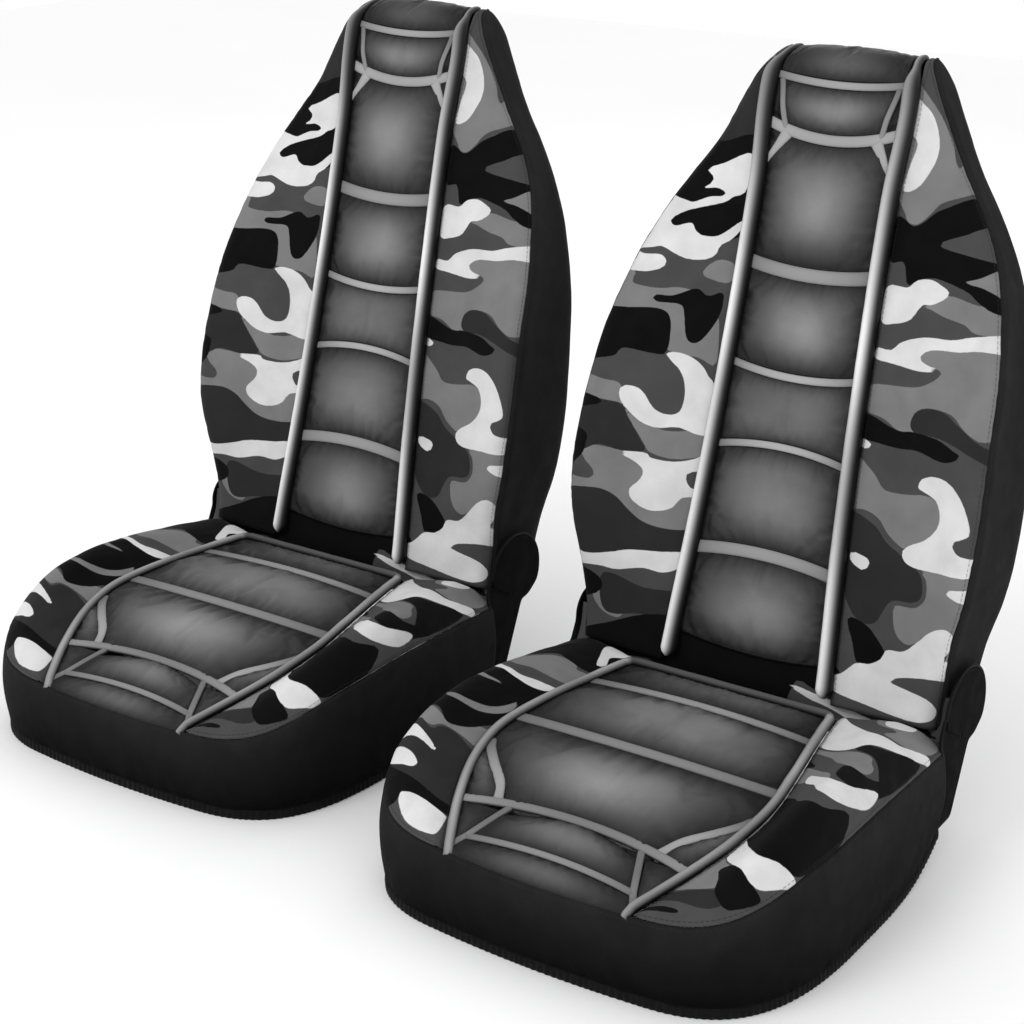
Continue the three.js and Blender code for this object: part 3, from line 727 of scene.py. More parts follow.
def printed(key, x, y):
    """Distances in millimetres inside each tone of a print, at the points x, y of its panel."""
    fields = {tone: np.full(x.shape, -PRINT_REACH) for tone in PRINT_TONES}
    for tone, corners in print_shapes(key):
        inside = outline_distance(x, y, corners)
        if tone in ("grey", "base"):
            for covered in PRINT_TONES[int(tone == "grey"):]:
                fields[covered] = np.minimum(fields[covered], -inside)
        own = "camo_mid" if tone == "grey" else f"camo_{tone}"
        if own in fields:
            fields[own] = np.maximum(fields[own], inside)
    return {tone: np.clip(value, -PRINT_REACH, PRINT_REACH) for tone, value in fields.items()}


PIECES = []


def piece(obj, body, slot, replaces=(), form="", fill=0.6, bend=None):
    """form is "sheet" or "padded"; bend is (other body, start, end) in the cover's own millimetres."""
    PIECES.append({
        "obj": obj, "name": obj.name, "body": body, "slot": slot, "replaces": replaces, "form": form,
        "fill": fill, "bend": bend})


def sided(points, side):
    """A left-hand grid for the given side, with its outer face still out."""
    if side == "left":
        return points
    return (points * np.array([-1, 1, 1]) if points.ndim == 3 else points)[::-1]


def rows(step=5.0):
    return np.concatenate([
        np.linspace(10, ROLL_START, int((ROLL_START - 10) / step)), np.linspace(ROLL_START, TOP_END, 18)[1:]])


def seams(points, edges):
    """Distance from the nearest of a grid's named edges and the distance along it."""
    across, along = arc_lengths(points, 0), arc_lengths(points, 1)
    offs = {"first": across, "last": across[-1:] - across, "start": along, "end": along[:, -1:] - along}
    to_each = np.array([offs[edge] for edge in edges])
    runs_across = np.array([edge in ("start", "end") for edge in edges])[to_each.argmin(axis=0)]
    return to_each.min(axis=0), np.where(runs_across, across, along)


def sewn(points, off, run, broad=1.5, pucker=0.8, valley=1.6, seed=1):
    """Fabric over foam: drawn in at its seams, puckered beside them and slightly uneven between them."""
    across, along = arc_lengths(points, 0), arc_lengths(points, 1)
    slanted = field(across + 0.6 * along, along - 0.6 * across, 18, 60, seed + 2)
    lift = (
        -valley * np.exp(-off / 2.5)
        + pucker * np.exp(-off / 12) * field(run, off, 8, 26, seed)
        + broad * smooth(off / 30) * field(across, along, 85, 120, seed + 1)
        + 0.35 * broad * smooth(off / 15) * slanted
    )
    return points + grid_normals(points) * lift[..., None]


def back_wing(side):
    """A camouflage panel of the backrest."""
    u = 1 - (1 - np.linspace(0, 1, 40)[:, None]) ** 1.35
    q = rows()[None, :]
    s = Section(q)
    outer = s.half - s.edge * (1 - math.sin(SEAM_TURN))
    inner = s.pipe + BACK_PIPE_RADIUS - 2
    points = back_face(lerp(inner, outer, u), q)
    off, run = seams(points, ("first", "last"))
    across = inner + 0.88 * arc_lengths(points, 0)
    values = printed(f"back_{side}", across, q + np.zeros_like(across))
    values.update(seam_off=off, seam_along=run)
    points = sewn(points, off, run, seed=11 if side == "left" else 14)
    values = {key: sided(value, side) for key, value in values.items()}
    panel = shell(f"back_panel_{side}", sided(points, side), PRINTED_THICKNESS, CAMOUFLAGE, values)
    piece(panel, "back_cover", "camouflage_fabric", (f"back_wing_{side}",), "sheet")


def back_side(side):
    """A black knit side of the backrest, from the seam to round the rear corner."""
    a = np.concatenate([np.linspace(0, 1, 6), np.linspace(1, 2, 18)[1:], np.linspace(2, 3, 12)[1:]])[:, None]
    q = rows(8)[None, :]
    s = Section(q)
    front_turn = lerp(SEAM_TURN, math.pi / 2, np.clip(a, 0, 1))
    rear_turn = REAR_TURN * np.clip(a - 2, 0, 1)
    edge_start = s.front - s.bolster + s.edge
    edge_x = s.half - s.edge * (1 - np.sin(front_turn))
    edge_depth = s.front - s.bolster + s.edge * (1 - np.cos(front_turn))
    flat_depth = lerp(edge_start, s.rear - s.corner, a - 1)
    corner_x = s.half - s.corner * (1 - np.cos(rear_turn))
    corner_depth = s.rear - s.corner * (1 - np.sin(rear_turn))
    depth = np.where(a < 1, edge_depth, np.where(a < 2, flat_depth, corner_depth))
    points = back_point(np.where(a < 1, edge_x, corner_x), s.v, depth)
    off, run = seams(points, ("first", "last"))
    # lighter near the front seam: a painted highlight where the side rounds towards the front, over uneven tone
    tone = 0.5 + 0.25 * np.exp(-arc_lengths(points, 0) / 40) + 0.1 * field(q, a * 50, 160, 60, 5)
    values = {"seam_off": off, "seam_along": run, "knit_tone_and_shade": tone}
    points = sewn(points, off, run, broad=1.3, pucker=0.7, seed=21)
    values = {key: sided(value, side) for key, value in values.items()}
    panel = shell(f"back_side_panel_{side}", sided(points, side), KNIT_THICKNESS, KNIT, values)
    piece(panel, "back_cover", "stretch_knit", (f"back_side_{side}",), "sheet")


def back_rear():
    u = np.linspace(-1, 1, 60)[:, None]
    q = rows(8)[None, :]
    s = Section(q)
    x = -u * (s.half - s.corner * (1 - math.cos(REAR_TURN)))
    past = np.maximum(0, np.abs(x) - (s.half - s.corner))
    turned = s.corner - np.sqrt(np.maximum(0, s.corner**2 - past**2))
    points = back_point(x, s.v, s.rear - turned)
    off, run = seams(points, ("first", "last", "end"))
    values = {"seam_off": off, "seam_along": run, "knit_tone_and_shade": 0.45 + 0.15 * field(x, q + 0 * x, 120, 160, 6)}
    points = sewn(points, off, run, broad=2.2, pucker=0.8, seed=25)
    panel = shell("back_rear_panel", points, KNIT_THICKNESS, KNIT, values)
    piece(panel, "back_cover", "stretch_knit", ("back_rear",), "sheet")


def back_hem():
    """The gathered elastic round the bottom of the backrest's sides and rear."""
    s = Section(17.0)
    a = np.linspace(0, math.pi / 2, 14)
    side = back_point(s.half + 0 * a[:8], 17.0, np.linspace(s.edge - s.bolster, s.rear - s.corner, 8))
    corner = back_point(s.half - s.corner * (1 - np.cos(a)), 17.0, s.rear - s.corner * (1 - np.sin(a)))
    rear = back_point(np.linspace(s.half - s.corner, 0, 30), 17.0, s.rear + np.zeros(30))
    half = np.concatenate([side[:-1], corner[:-1], rear[:-1]])
    route = np.concatenate([half, rear[-1:], (half * np.array([-1, 1, 1]))[::-1]])
    length = arc_lengths(route[None], 1)[0]
    stations = np.linspace(0, length[-1], 420)
    route = np.stack([np.interp(stations, length, route[:, k]) for k in range(3)], -1)
    up = back_point(0.0, 1.0, 0.0) - back_point(0.0, 0.0, 0.0)
    up = np.broadcast_to(up, route.shape)
    outward = unit(np.cross(up, unit(np.gradient(route, axis=0))))
    outward *= np.sign((outward * (route - back_point(0.0, 17.0, 60.0))).sum(-1))[:, None]
    gather = 0.5 + 0.7 * np.sin(2 * math.pi * stations / 7 + 2 * field(stations, 0, 30, 1, 8))
    route = route + outward * (0.6 + 0.5 * gather)[:, None]
    section = [(-7, -0.8), (-6.4, 1.0), (0, 1.7), (6.4, 1.0), (7, -0.8), (0, -1.2)]
    scale = np.stack([np.ones_like(gather), 0.8 + 0.4 * gather], -1)
    piece(sweep("back_hem_elastic", route, up, outward, section, ELASTIC, scale), "back_cover", "elastic")


# the painted highlight of each side's piping: its brightness along the backrest, and the angle round it in
# degrees
BACK_PIPE_PAINTED_HIGHLIGHT = {
    "left": (profile((10, 1.0), (120, 0.9), (250, 0.5), (330, 0.6), (430, 1.0), (520, 0.75), (650, 0.42),
                     (770, 0.2)), 66),
    "right": (profile((10, 1.0), (200, 0.9), (350, 0.75), (450, 1.0), (560, 0.7), (660, 0.36), (770, 0.18)),
              118)}


def back_pipe(side):
    q = np.concatenate([np.linspace(17, ROLL_START, 150), np.linspace(ROLL_START, TOP_END - 3, 18)[1:]])
    s = Section(q)
    over = smooth((q - 728) / 34)
    centres = back_point(s.pipe, s.v - 2 * over, s.front - BACK_PIPE_PROUD * (1 - over))
    turn = np.clip((q - ROLL_START) / TOP_RADIUS, 0, None)
    ups = unit(vec(0, -np.cos(turn) * math.cos(BACK_ANGLE) + np.sin(turn) * math.sin(BACK_ANGLE),
                   np.cos(turn) * math.sin(BACK_ANGLE) + np.sin(turn) * math.cos(BACK_ANGLE)))
    sides, ups = frame_along(centres, ups)
    painted_shine, lit_from = BACK_PIPE_PAINTED_HIGHLIGHT[side]
    ends = np.minimum(1, np.sqrt(np.clip((q - 16) / 9, 0.02, 1)))
    slim = 1 - 0.5 * over
    uneven = 1.03 + 0.015 * field(q, 0, 14, 1, 31) + 0.02 * field(q, 0, 70, 1, 32)
    radius = BACK_PIPE_RADIUS * ends * slim * uneven
    section = round_section(1, 0.92, 24)
    angle = np.linspace(0, 2 * math.pi, 24, endpoint=False)
    # painted highlight on the side of the pipe towards lit_from, painted shade round the far side
    lit = np.clip(np.cos(angle - math.radians(lit_from)), 0, 1) ** 3.2
    values = {"satin_painted_light": painted_shine(s.v)[:, None] * lit[None, :]}
    scale = np.stack([radius, radius], -1)
    obj = sweep(f"back_piping_{side}", centres, sides, ups, section, SATIN, scale, values)
    if side == "right":
        mirror(obj)
    piece(obj, "back_cover", "satin_piping", (f"back_pipe_{side}",), "padded", 0.9)


# ---- padded inserts ----------------------------------------------------------------------------------
# bands, from the lumbar pad up and from the rear forward: height or y at the middle, how much more at the ends,
# width, and painted brightness (highlight) at the ends and in the middle
BACK_BANDS = {
    "lumbar_band": (167, -8, 13, 0.45, 0.75), "lower_band": (298, -10, 7.5, 0.35, 1.0),
    "middle_band": (381, 9, 8, 0.4, 1.0), "upper_band": (503, 8, 14, 0.4, 0.7),
    "neck_band": (661, 15, 11, 0.9, 0.8), "headrest_band": (725, 7, 7.5, 0.35, 0.8)}
SEAT_BANDS = {
    "rear_band": (-2, -13, 11, 0.25, 0.8), "second_band": (-132, -4, 14, 0.3, 0.55),
    "front_band": (-266, -19, 9.5, 0.6, 0.4), "lip_band": (-321, -9, 7, 0.3, 0.55)}
SEAT_BAND_REACH = {"rear_band": 149, "second_band": 172, "front_band": 147, "lip_band": 108}
BAND_LINES = {**BACK_BANDS, **SEAT_BANDS, "foot": (43, 8, 0), "top": (TOP_END, 0, 0)}
# name, band below, band above, crown in mm, and the peak of its painted highlight: level, across, along, how
# far it spreads
BACK_PADS = [
    ("lumbar", "foot", "lumbar_band", 8, (0.78, 0.1, 0.45, 1.0)),
    ("mid_lower", "lumbar_band", "lower_band", 8, (0.72, 0.1, 0.5, 1.3)),
    ("middle", "lower_band", "middle_band", 3.5, (0.5, 0.0, 0.45, 3.0)),
    ("mid_upper", "middle_band", "upper_band", 8, (0.9, 0.1, 0.5, 0.95)),
    ("upper", "upper_band", "neck_band", 9, (0.86, 0.0, 0.52, 0.9)),
    ("headrest", "neck_band", "headrest_band", 6, (0.78, 0.0, 0.5, 0.8)),
    ("headrest_top", "headrest_band", "top", 8, (0.36, 0.0, 0.3, 0.8)),
]
PADS = []


def band_line(band, u, side_of_band):
    """Where a pad meets a band, on the band's side 1 or -1."""
    middle, rise, width = BAND_LINES[band][:3]
    return middle + rise * u**2 + side_of_band * 0.47 * width


def add_pad(name, body, base, u, t, crown, tone, replaces=()):
    """A pad over the base grid; u is -1..1 across and t 0..1 along."""
    normal = grid_normals(base)
    height = 0.4 + 0.75 * crown * (1 - np.abs(u) ** 3.2) * (1 - np.abs(2 * t - 1) ** 3.2)
    PADS.append({"name": name, "body": body, "base": base, "normal": normal, "height": height, "crown": crown,
                 "tone": tone, "replaces": replaces})


# painted light on a pad: painted shade towards its edges and a round painted highlight about the peak
def painted_pad_light(u, t, level, at_u, at_t, spread):
    edge = (1 - np.abs(u) ** 3) * (1 - np.abs(2 * t - 1) ** 3.5)
    painted_round_highlight = np.exp(-(((u - at_u) / (0.72 * spread)) ** 2 + ((t - at_t) / (0.37 * spread)) ** 2))
    return np.clip(level * edge * (0.2 + 0.8 * painted_round_highlight), 0, 1)


def back_pads():
    rows_of = {"headrest_top": 12, "middle": 16, "headrest": 16}
    for name, below, above, crown, peak in BACK_PADS:
        rows_here = rows_of.get(name, 27)
        u, t = np.meshgrid(np.linspace(-1, 1, 37), np.linspace(0, 1, rows_here), indexing="ij")
        q = lerp(band_line(below, u, 1), band_line(above, u, -1), t)
        s = Section(q)
        base = back_point(u * (s.pipe - BACK_PIPE_RADIUS + 3), s.v, s.front)
        tone = painted_pad_light(u, t, *peak)
        if name == "headrest":
            divider = lerp(61, 74, t)
            tone = tone * lerp(0.06, 1, smooth((divider - np.abs(u) * s.pipe + 4) / 7))
        # painted shade: the top pad darker as it rolls over towards the rear
        if name == "headrest_top":
            tone = tone * (1 - 0.6 * t)
        add_pad(f"back_pad_{name}", "back_cover", base, u, t, crown, tone, (f"back_pad_{name}",))


def pipe_line(y):
    """Half the width of the cushion's insert inside its piping."""
    return insert_half_width(y) - SEAT_PIPE_RADIUS + 2


def corner_line(y):
    """Half the width of the cushion's centre pad: the insert's, and ahead of it the curved corner divider."""
    share = np.clip((-188 - y) / 88, 0, 1)
    ahead = smooth(share * 30)
    divider = 168 - 66 * np.sin(0.5 * math.pi * share ** 1.5)
    return np.minimum(pipe_line(y), pipe_line(y) * (1 - ahead) + ahead * divider)


def front_side_line(y):
    """Half the width of the front pad, and of the lip ahead of it."""
    return np.interp(y, [-352, -330, -274], [121, 107, 84])


def centre_outer(y):
    return corner_line(y) - 2 * (y < -192)


def front_outer(y):
    return front_side_line(y) - 2


def corner_inner(y):
    return corner_line(y) + 7


def wedge_inner(y):
    return front_side_line(y) + 5


def wedge_outer(y):
    return np.maximum(pipe_line(y), front_side_line(y) + 6)


def seat_patch(name, front, rear, inner, outer, grid, crown, peak, side="both"):
    """A cushion pad; inner and outer are its side lines, and inner is None where it runs right across."""
    first = -1 if side == "both" else 0
    u, t = np.meshgrid(np.linspace(first, 1, grid[0]), np.linspace(0, 1, grid[1]), indexing="ij")
    y = lerp(front(u), rear(u), t)
    x = u * outer(y) if side == "both" else lerp(inner(y), outer(y), u)
    if side == "right":
        x, y, u, t = -x[::-1], y[::-1], u[::-1], t[::-1]
    base = vec(x, y, cushion_top(y))
    spread_u = u if side == "both" else 2 * u - 1
    replaces = (f"seat_pad_{name}",) if name in ("rear", "second", "centre", "front") else ()
    add_pad(f"seat_pad_{name}", "seat_cover", base, spread_u, t, crown, painted_pad_light(spread_u, t, *peak), replaces)


def seat_pads():
    def level(y):
        return lambda u: y + 0 * u

    def beside(band, side_of_band):
        return lambda u: band_line(band, u, side_of_band)

    def lip_edge(u):
        return -361.5 + 5 * np.abs(u) ** 2

    for name, front, rear, outer, grid, crown, peak in (
        ("rear", beside("rear_band", 1), level(54), pipe_line, (49, 12), 6, (0.45, 0.1, 0.7, 1.2)),
        ("second", beside("second_band", 1), beside("rear_band", -1), pipe_line, (53, 23), 8,
         (0.74, 0.1, 0.55, 1.35)),
        ("centre", beside("front_band", 1), beside("second_band", -1), centre_outer, (57, 25), 8,
         (0.95, 0.0, 0.42, 0.85)),
        ("front", beside("lip_band", 1), beside("front_band", -1), front_outer, (35, 12), 5,
         (0.6, 0.0, 0.55, 0.9)),
        ("lip", lip_edge, beside("lip_band", -1), front_outer, (35, 9), 3.5, (0.36, 0.0, 0.5, 0.8)),
    ):
        seat_patch(name, front, rear, None, outer, grid, crown, peak)
    for side in ("left", "right"):
        seat_patch(f"corner_{side}", level(-283), level(-196), corner_inner, pipe_line, (15, 19), 5,
                   (0.34, 0.0, 0.5, 1.0), side)
        seat_patch(f"wedge_{side}", level(-351), level(-284), wedge_inner, wedge_outer, (9, 14), 2,
                   (0.1, 0.0, 0.5, 1.0), side)


def inflate(pads):
    """Blows the pads up as cloth held along its seams, with a little more cloth than the seams span."""
    starts, verts, faces, pinned = [], [], [], []
    total = 0
    for pad in pads:
        points = pad["base"] + pad["normal"] * pad["height"][..., None]
        n, m = points.shape[:2]
        starts.append(total)
        verts.append(points.reshape(-1, 3))
        faces += grid_faces(n, m, total)
        index = np.arange(n * m).reshape(n, m) + total
        pinned += np.unique(np.concatenate([index[0], index[-1], index[:, 0], index[:, -1]])).tolist()
        total += n * m
    obj = build("inflating", np.concatenate(verts), faces, PADDING)
    group = obj.vertex_groups.new(name="seams")
    group.add(pinned, 1.0, "REPLACE")
    cloth = obj.modifiers.new("cloth", "CLOTH")
    settings = cloth.settings
    settings.quality = 6
    settings.mass = 0.25
    settings.tension_stiffness = settings.compression_stiffness = 18
    settings.shear_stiffness = 8
    settings.bending_stiffness = 0.6
    settings.use_pressure = True
    settings.uniform_pressure_force = 4
    settings.vertex_group_mass = group.name
    settings.shrink_min = -0.022
    settings.effector_weights.gravity = 0
    scene = bpy.context.scene
    for step in range(1, 21):
        scene.frame_set(step)
    blown = obj.evaluated_get(bpy.context.evaluated_depsgraph_get()).to_mesh()
    coords = np.empty(len(blown.vertices) * 3)
    blown.vertices.foreach_get("co", coords)
    coords = coords.reshape(-1, 3) * 1000
    bpy.data.objects.remove(obj)
    scene.frame_set(1)
    for pad, start in zip(pads, starts):
        n, m = pad["height"].shape
        moved = coords[start:start + n * m].reshape(n, m, 3) - pad["base"]
        lift = (moved * pad["normal"]).sum(-1)
        slide = moved - pad["normal"] * lift[..., None]
        limit = pad["crown"] + 2.5
        capped = np.minimum(lift, limit - 1.5 + 1.5 * np.tanh((lift - limit + 1.5) / 1.5))
        pad["top"] = pad["base"] + pad["normal"] * np.maximum(capped, 0.2)[..., None] + slide.clip(-3, 3)


def finer(grid):
    """The same grid with a point between each two, smoothly."""
    for axis in (0, 1):
        grid = np.moveaxis(grid, axis, 0)
        ends = np.concatenate([2 * grid[:1] - grid[1:2], grid, 2 * grid[-1:] - grid[-2:-1]])
        middle = (9 * (ends[1:-2] + ends[2:-1]) - ends[:-3] - ends[3:]) / 16
        fine = np.empty((2 * len(grid) - 1,) + grid.shape[1:])
        fine[::2], fine[1::2] = grid, middle
        grid = np.moveaxis(fine, 0, axis)
    return grid


def finish_pads():
    back_pads()
    seat_pads()
    inflate(PADS)
    trees = {}
    for body in ("back_cover", "seat_cover"):
        verts, faces, total = [], [], 0
        for pad in (p for p in PADS if p["body"] == body):
            n, m = pad["top"].shape[:2]
            verts.append(pad["top"].reshape(-1, 3))
            faces += grid_faces(n, m, total)
            total += n * m
        trees[body] = BVHTree.FromPolygons(np.concatenate(verts).tolist(), faces)
    for pad in PADS:
        top, base, tone = finer(pad["top"]), finer(pad["base"]), finer(pad["tone"])
        off, run = seams(top, ("first", "last", "start", "end"))
        # the pad's painted highlight and shade go on as an attribute
        values = {"pad_tone": tone, "seam_off": off, "seam_along": run}
        inner = base - grid_normals(base) * 3
        name = pad["name"].replace("_pad_", "_padding_")
        piece(shell(name, top, inner, PADDING, values), pad["body"], "pad_leatherette", pad["replaces"],
              "padded", 0.7)
    return trees


# ---- bands and dividers laid over the pads -----------------------------------------------------------
def laid(body, x, b):
    """Points of a body's face and their outward normals."""
    def at(p, r):
        if body == "seat_cover":
            return vec(p, r, cushion_top(r))
        s = Section(r)
        return back_point(p, s.v, s.front)

    points = at(x, b)
    normal = unit(np.cross(at(x + 0.5, b) - at(x - 0.5, b), at(x, b + 0.5) - at(x, b - 0.5)))
    return points, normal


def tape(name, body, trees, path, width, painted_shine, width_scale=None, crown=1.3, rest=1.2):
    """A band along the smooth path of (across, along) points; shine is its painted highlight, the brightness at
    each point.
    """
    path = np.array(path, float)
    knots = np.linspace(0, 1, len(path))
    stations = np.linspace(0, 1, 60)
    x, b = (profile(*zip(knots, path[:, k]))(stations) for k in (0, 1))
    bright = profile(*zip(knots, painted_shine))(stations)
    points, normals = laid(body, x, b)
    height = np.full(len(points), rest)
    for i, (point, normal) in enumerate(zip(points, normals)):
        hit = trees[body].ray_cast(Vector(point + 30 * normal), Vector(-normal), 40)
        if hit[0] is not None:
            height[i] = max(rest, 30 - hit[3] + 0.2)
    padded = np.concatenate([height[:1]] * 7 + [height] + [height[-1:]] * 7)
    height = np.convolve(padded, np.ones(15) / 15, "valid")
    centres = points + normals * height[:, None]
    sides, ups = frame_along(centres, normals)
    section = tape_section(1.18 * width, crown, 3.5)
    scale = np.ones((60, 2))
    if width_scale is not None:
        scale[:, 0] = profile(*zip(knots, width_scale))(stations)
    # painted shade: the band darker at its edges and underneath, below its painted highlight along the top
    edge = np.array([1 - 0.4 * abs(1.7 * s / width) ** 4 if u > 0 else 0.2 for s, u in section])
    values = {"satin_painted_light": bright[:, None] * edge[None, :]}
    piece(sweep(name, centres, sides, ups, section, BAND, scale, values), body, "satin_piping")


# dividers of the left side: their (across, along) points, width, and painted brightness and share of the width
# there
BACK_DIVIDERS = {
    "headrest_divider": ([(75, 727), (68, 697), (61, 668)], 6, [0.35, 0.5, 0.6], None),
    "neck_strut": ([(58, 664), (70, 645), (84, 621)], 13, [0.9, 0.9, 0.75], [1.0, 0.6, 0.25])}
SEAT_DIVIDERS = {
    "corner_divider": ([(float(corner_line(y)) + 2.5, y) for y in (-190, -205, -225, -248, -272)], 10,
                       [0.25, 0.4, 0.65, 0.8, 0.7], None),
    "front_divider": ([(85, -277), (96, -303), (107, -329)], 7, [0.3, 0.3, 0.4], None),
    "lip_divider": ([(107, -329), (113, -339), (119, -350)], 7, [0.4, 0.3, 0.25], None)}


def bands(trees):
    def across(name, body, band, reach):
        middle, rise, width, end, peak = band
        u = np.linspace(-1, 1, 9)
        path = np.stack([u * reach, middle + rise * u**2], -1)
        tape(name, body, trees, path, width, lerp(peak, end, u**2))

    def dividers(part, rows_of):
        for side, s in (("left", 1), ("right", -1)):
            for name, (path, width, painted_shine, width_scale) in rows_of.items():
                path = [(s * x, b) for x, b in path]
                tape(f"{part}_{name}_{side}", f"{part}_cover", trees, path, width, painted_shine, width_scale)

    for name, band in BACK_BANDS.items():
        across(f"back_{name}", "back_cover", band, float(Section(band[0]).pipe) - BACK_PIPE_RADIUS + 4)
    dividers("back", BACK_DIVIDERS)
    for name, band in SEAT_BANDS.items():
        across(f"seat_{name}", "seat_cover", band, SEAT_BAND_REACH[name])
    dividers("seat", SEAT_DIVIDERS)


# ---- cushion -----------------------------------------------------------------------------------------
def seat_wing(side):
    u = 1 - (1 - np.linspace(0, 1, 36)[:, None]) ** 1.15
    t = np.linspace(0, 1, 116)[None, :]
    points = seat_wing_point(u, t)
    off, run = seams(points, ("first", "last"))
    values = printed(f"seat_{side}", points[..., 0], points[..., 1])
    values.update(seam_off=off, seam_along=run)
    points = sewn(points, off, run, broad=1.8, seed=41 if side == "left" else 44)
    values = {key: sided(value, side) for key, value in values.items()}
    panel = shell(f"seat_panel_{side}", sided(points, side), PRINTED_THICKNESS, CAMOUFLAGE, values)
    piece(panel, "seat_cover", "camouflage_fabric", (f"seat_wing_{side}",), "sheet")


def seat_piping():
    turn = 12
    y = np.linspace(-356, INSERT_REAR_Y - turn, 90)
    angle = np.radians(np.linspace(8, 90, 9))
    corner_x = float(insert_half_width(INSERT_REAR_Y)) - turn
    half_x = np.concatenate([
        insert_half_width(y), corner_x + turn * np.cos(angle), np.linspace(corner_x - 8, 0, 16)])
    half_y = np.concatenate([y, INSERT_REAR_Y - turn + turn * np.sin(angle), np.full(16, INSERT_REAR_Y)])
    x = np.concatenate([half_x, -half_x[-2::-1]])
    y = np.concatenate([half_y, half_y[-2::-1]])
    drop = 6 * smooth((-346 - y) / 12)
    centres = vec(x, y, cushion_top(y) + SEAT_PIPE_PROUD - drop)
    sides, ups = frame_along(centres, np.broadcast_to([0.0, 0.0, 1.0], centres.shape))
    radius = SEAT_PIPE_RADIUS * (1 + 0.03 * field(np.arange(len(x)), 0, 3, 1, 51))
    angle = np.linspace(0, 2 * math.pi, 16, endpoint=False)
    # painted highlight along the top of the piping, and darker towards its rear end
    lit = np.clip(np.sin(angle), 0, 1) ** 1.5
    painted_shine = (0.33 + 0.1 * field(np.arange(len(x)), 0, 14, 1, 52)) * (1 - 0.75 * smooth((y - 46) / 10))
    tone = painted_shine[:, None] * lit[None, :]
    obj = sweep("seat_piping_roll", centres, sides, ups, round_section(1, 1, 16), SATIN,
                np.stack([radius, radius], -1), {"satin_painted_light": tone})
    piece(obj, "seat_cover", "satin_piping", ("seat_piping",), "padded", 0.9)


def skirt():
    r, h = np.linspace(-1, 1, 330)[:, None], np.linspace(0, 1, 30)[None, :]
    x, y = rim_point(r)
    low, high = hem_height(y) + 13, seam_height(y) + 0.5
    outward = unit(np.stack([x, y + 100], -1))
    bulge = 6 * np.sin(math.pi * h)
    points = vec(x + outward[..., 0] * bulge, y + outward[..., 1] * bulge, lerp(low, high, h))
    off, run = seams(points, ("end",))
    above_hem = arc_lengths(points, 1)
    lift = (
        -1.5 * np.exp(-off / 2.5) + 0.8 * np.exp(-off / 12) * field(arc_lengths(points, 0), off, 9, 26, 61)
        + 1.6 * np.exp(-above_hem / 16) * field(arc_lengths(points, 0), above_hem, 9, 60, 62)
        + 1.6 * np.sin(math.pi * h) * field(arc_lengths(points, 0), above_hem, 90, 50, 63))
    points = points + grid_normals(points) * lift[..., None]
    # painted shade: the skirt darker towards the hem at the bottom
    tone = lerp(0.0, 0.8, h ** 1.3) * (0.9 + 0.15 * field(arc_lengths(points, 0), above_hem, 110, 60, 64))
    values = {"seam_off": off, "seam_along": arc_lengths(points, 0), "knit_tone_and_shade": tone}
    panel = shell("seat_skirt_panel", points, KNIT_THICKNESS, KNIT, values)
    piece(panel, "seat_cover", "stretch_knit", ("seat_skirt",), "sheet")


def seat_hem():
    r = np.linspace(-0.9995, 0.9995, 700)
    x, y = rim_point(r)
    centres = vec(x, y, hem_height(y) + 7)
    outward = unit(vec(np.gradient(y), -np.gradient(x), 0 * x))
    outward *= np.sign((outward * centres).sum(-1))[:, None]
    length = arc_lengths(centres[None], 1)[0]
    gather = np.sin(2 * math.pi * length / 8 + 2.5 * field(length, 0, 30, 1, 71))
    centres = centres - outward * (2.4 - 0.5 * gather)[:, None]
    ups = np.broadcast_to([0.0, 0.0, 1.0], centres.shape)
    section = [
        (-3, -5.5), (-1.5, -7), (1.5, -7), (3, -5.5), (3.3, 0), (3, 5.5), (1.5, 7), (-1.5, 7), (-3, 5.5)]
    scale = np.stack([0.92 + 0.08 * gather, np.ones_like(gather)], -1)
    piece(sweep("seat_hem_elastic", centres, outward, ups, section, ELASTIC, scale), "seat_cover", "elastic",
          ("seat_hem",))


def crease():
    """The fabric that joins the cushion to the backrest and tucks down between them; its black is painted shade
    in the tuck.
    """
    u, t = np.linspace(-1, 1, 61)[:, None], np.linspace(0, 1, 40)[None, :]
    x = u * lerp(143, 251, smooth(t / 0.55))
    depth = 1.5 + 21 * smooth((np.abs(x) - 88) / 80)
    foot, edge = back_point(x, 14.0, depth + 1), back_point(x, 50.0, depth)
    stops = [0, 0.22, 0.48, 0.75, 1]
    y = np.zeros_like(x)
    z = np.zeros_like(x)
    for i in range(len(x)):
        column = [(59, 166), (79, 161), (93, 136), tuple(foot[i, -1, 1:]), tuple(edge[i, -1, 1:])]
        y[i] = profile(*[(s, c[0]) for s, c in zip(stops, column)])(t[0])
        z[i] = profile(*[(s, c[1]) for s, c in zip(stops, column)])(t[0])
    points = vec(x, y, z)
    off, run = seams(points, ("start", "end"))
    points = points + grid_normals(points) * (1.2 * field(x, t * 90, 22, 40, 81))[..., None]
    values = printed("crease", x, arc_lengths(points, 1))
    values.update(seam_off=off + 20, seam_along=run)
    strip = shell("crease_fabric", points, 1.8, CAMOUFLAGE, values)
    piece(strip, "seat_cover", "camouflage_fabric", ("seat_tuck_strip",), "sheet",
          bend=("back_cover", (0, 88, 150), (0, 97, 150)))


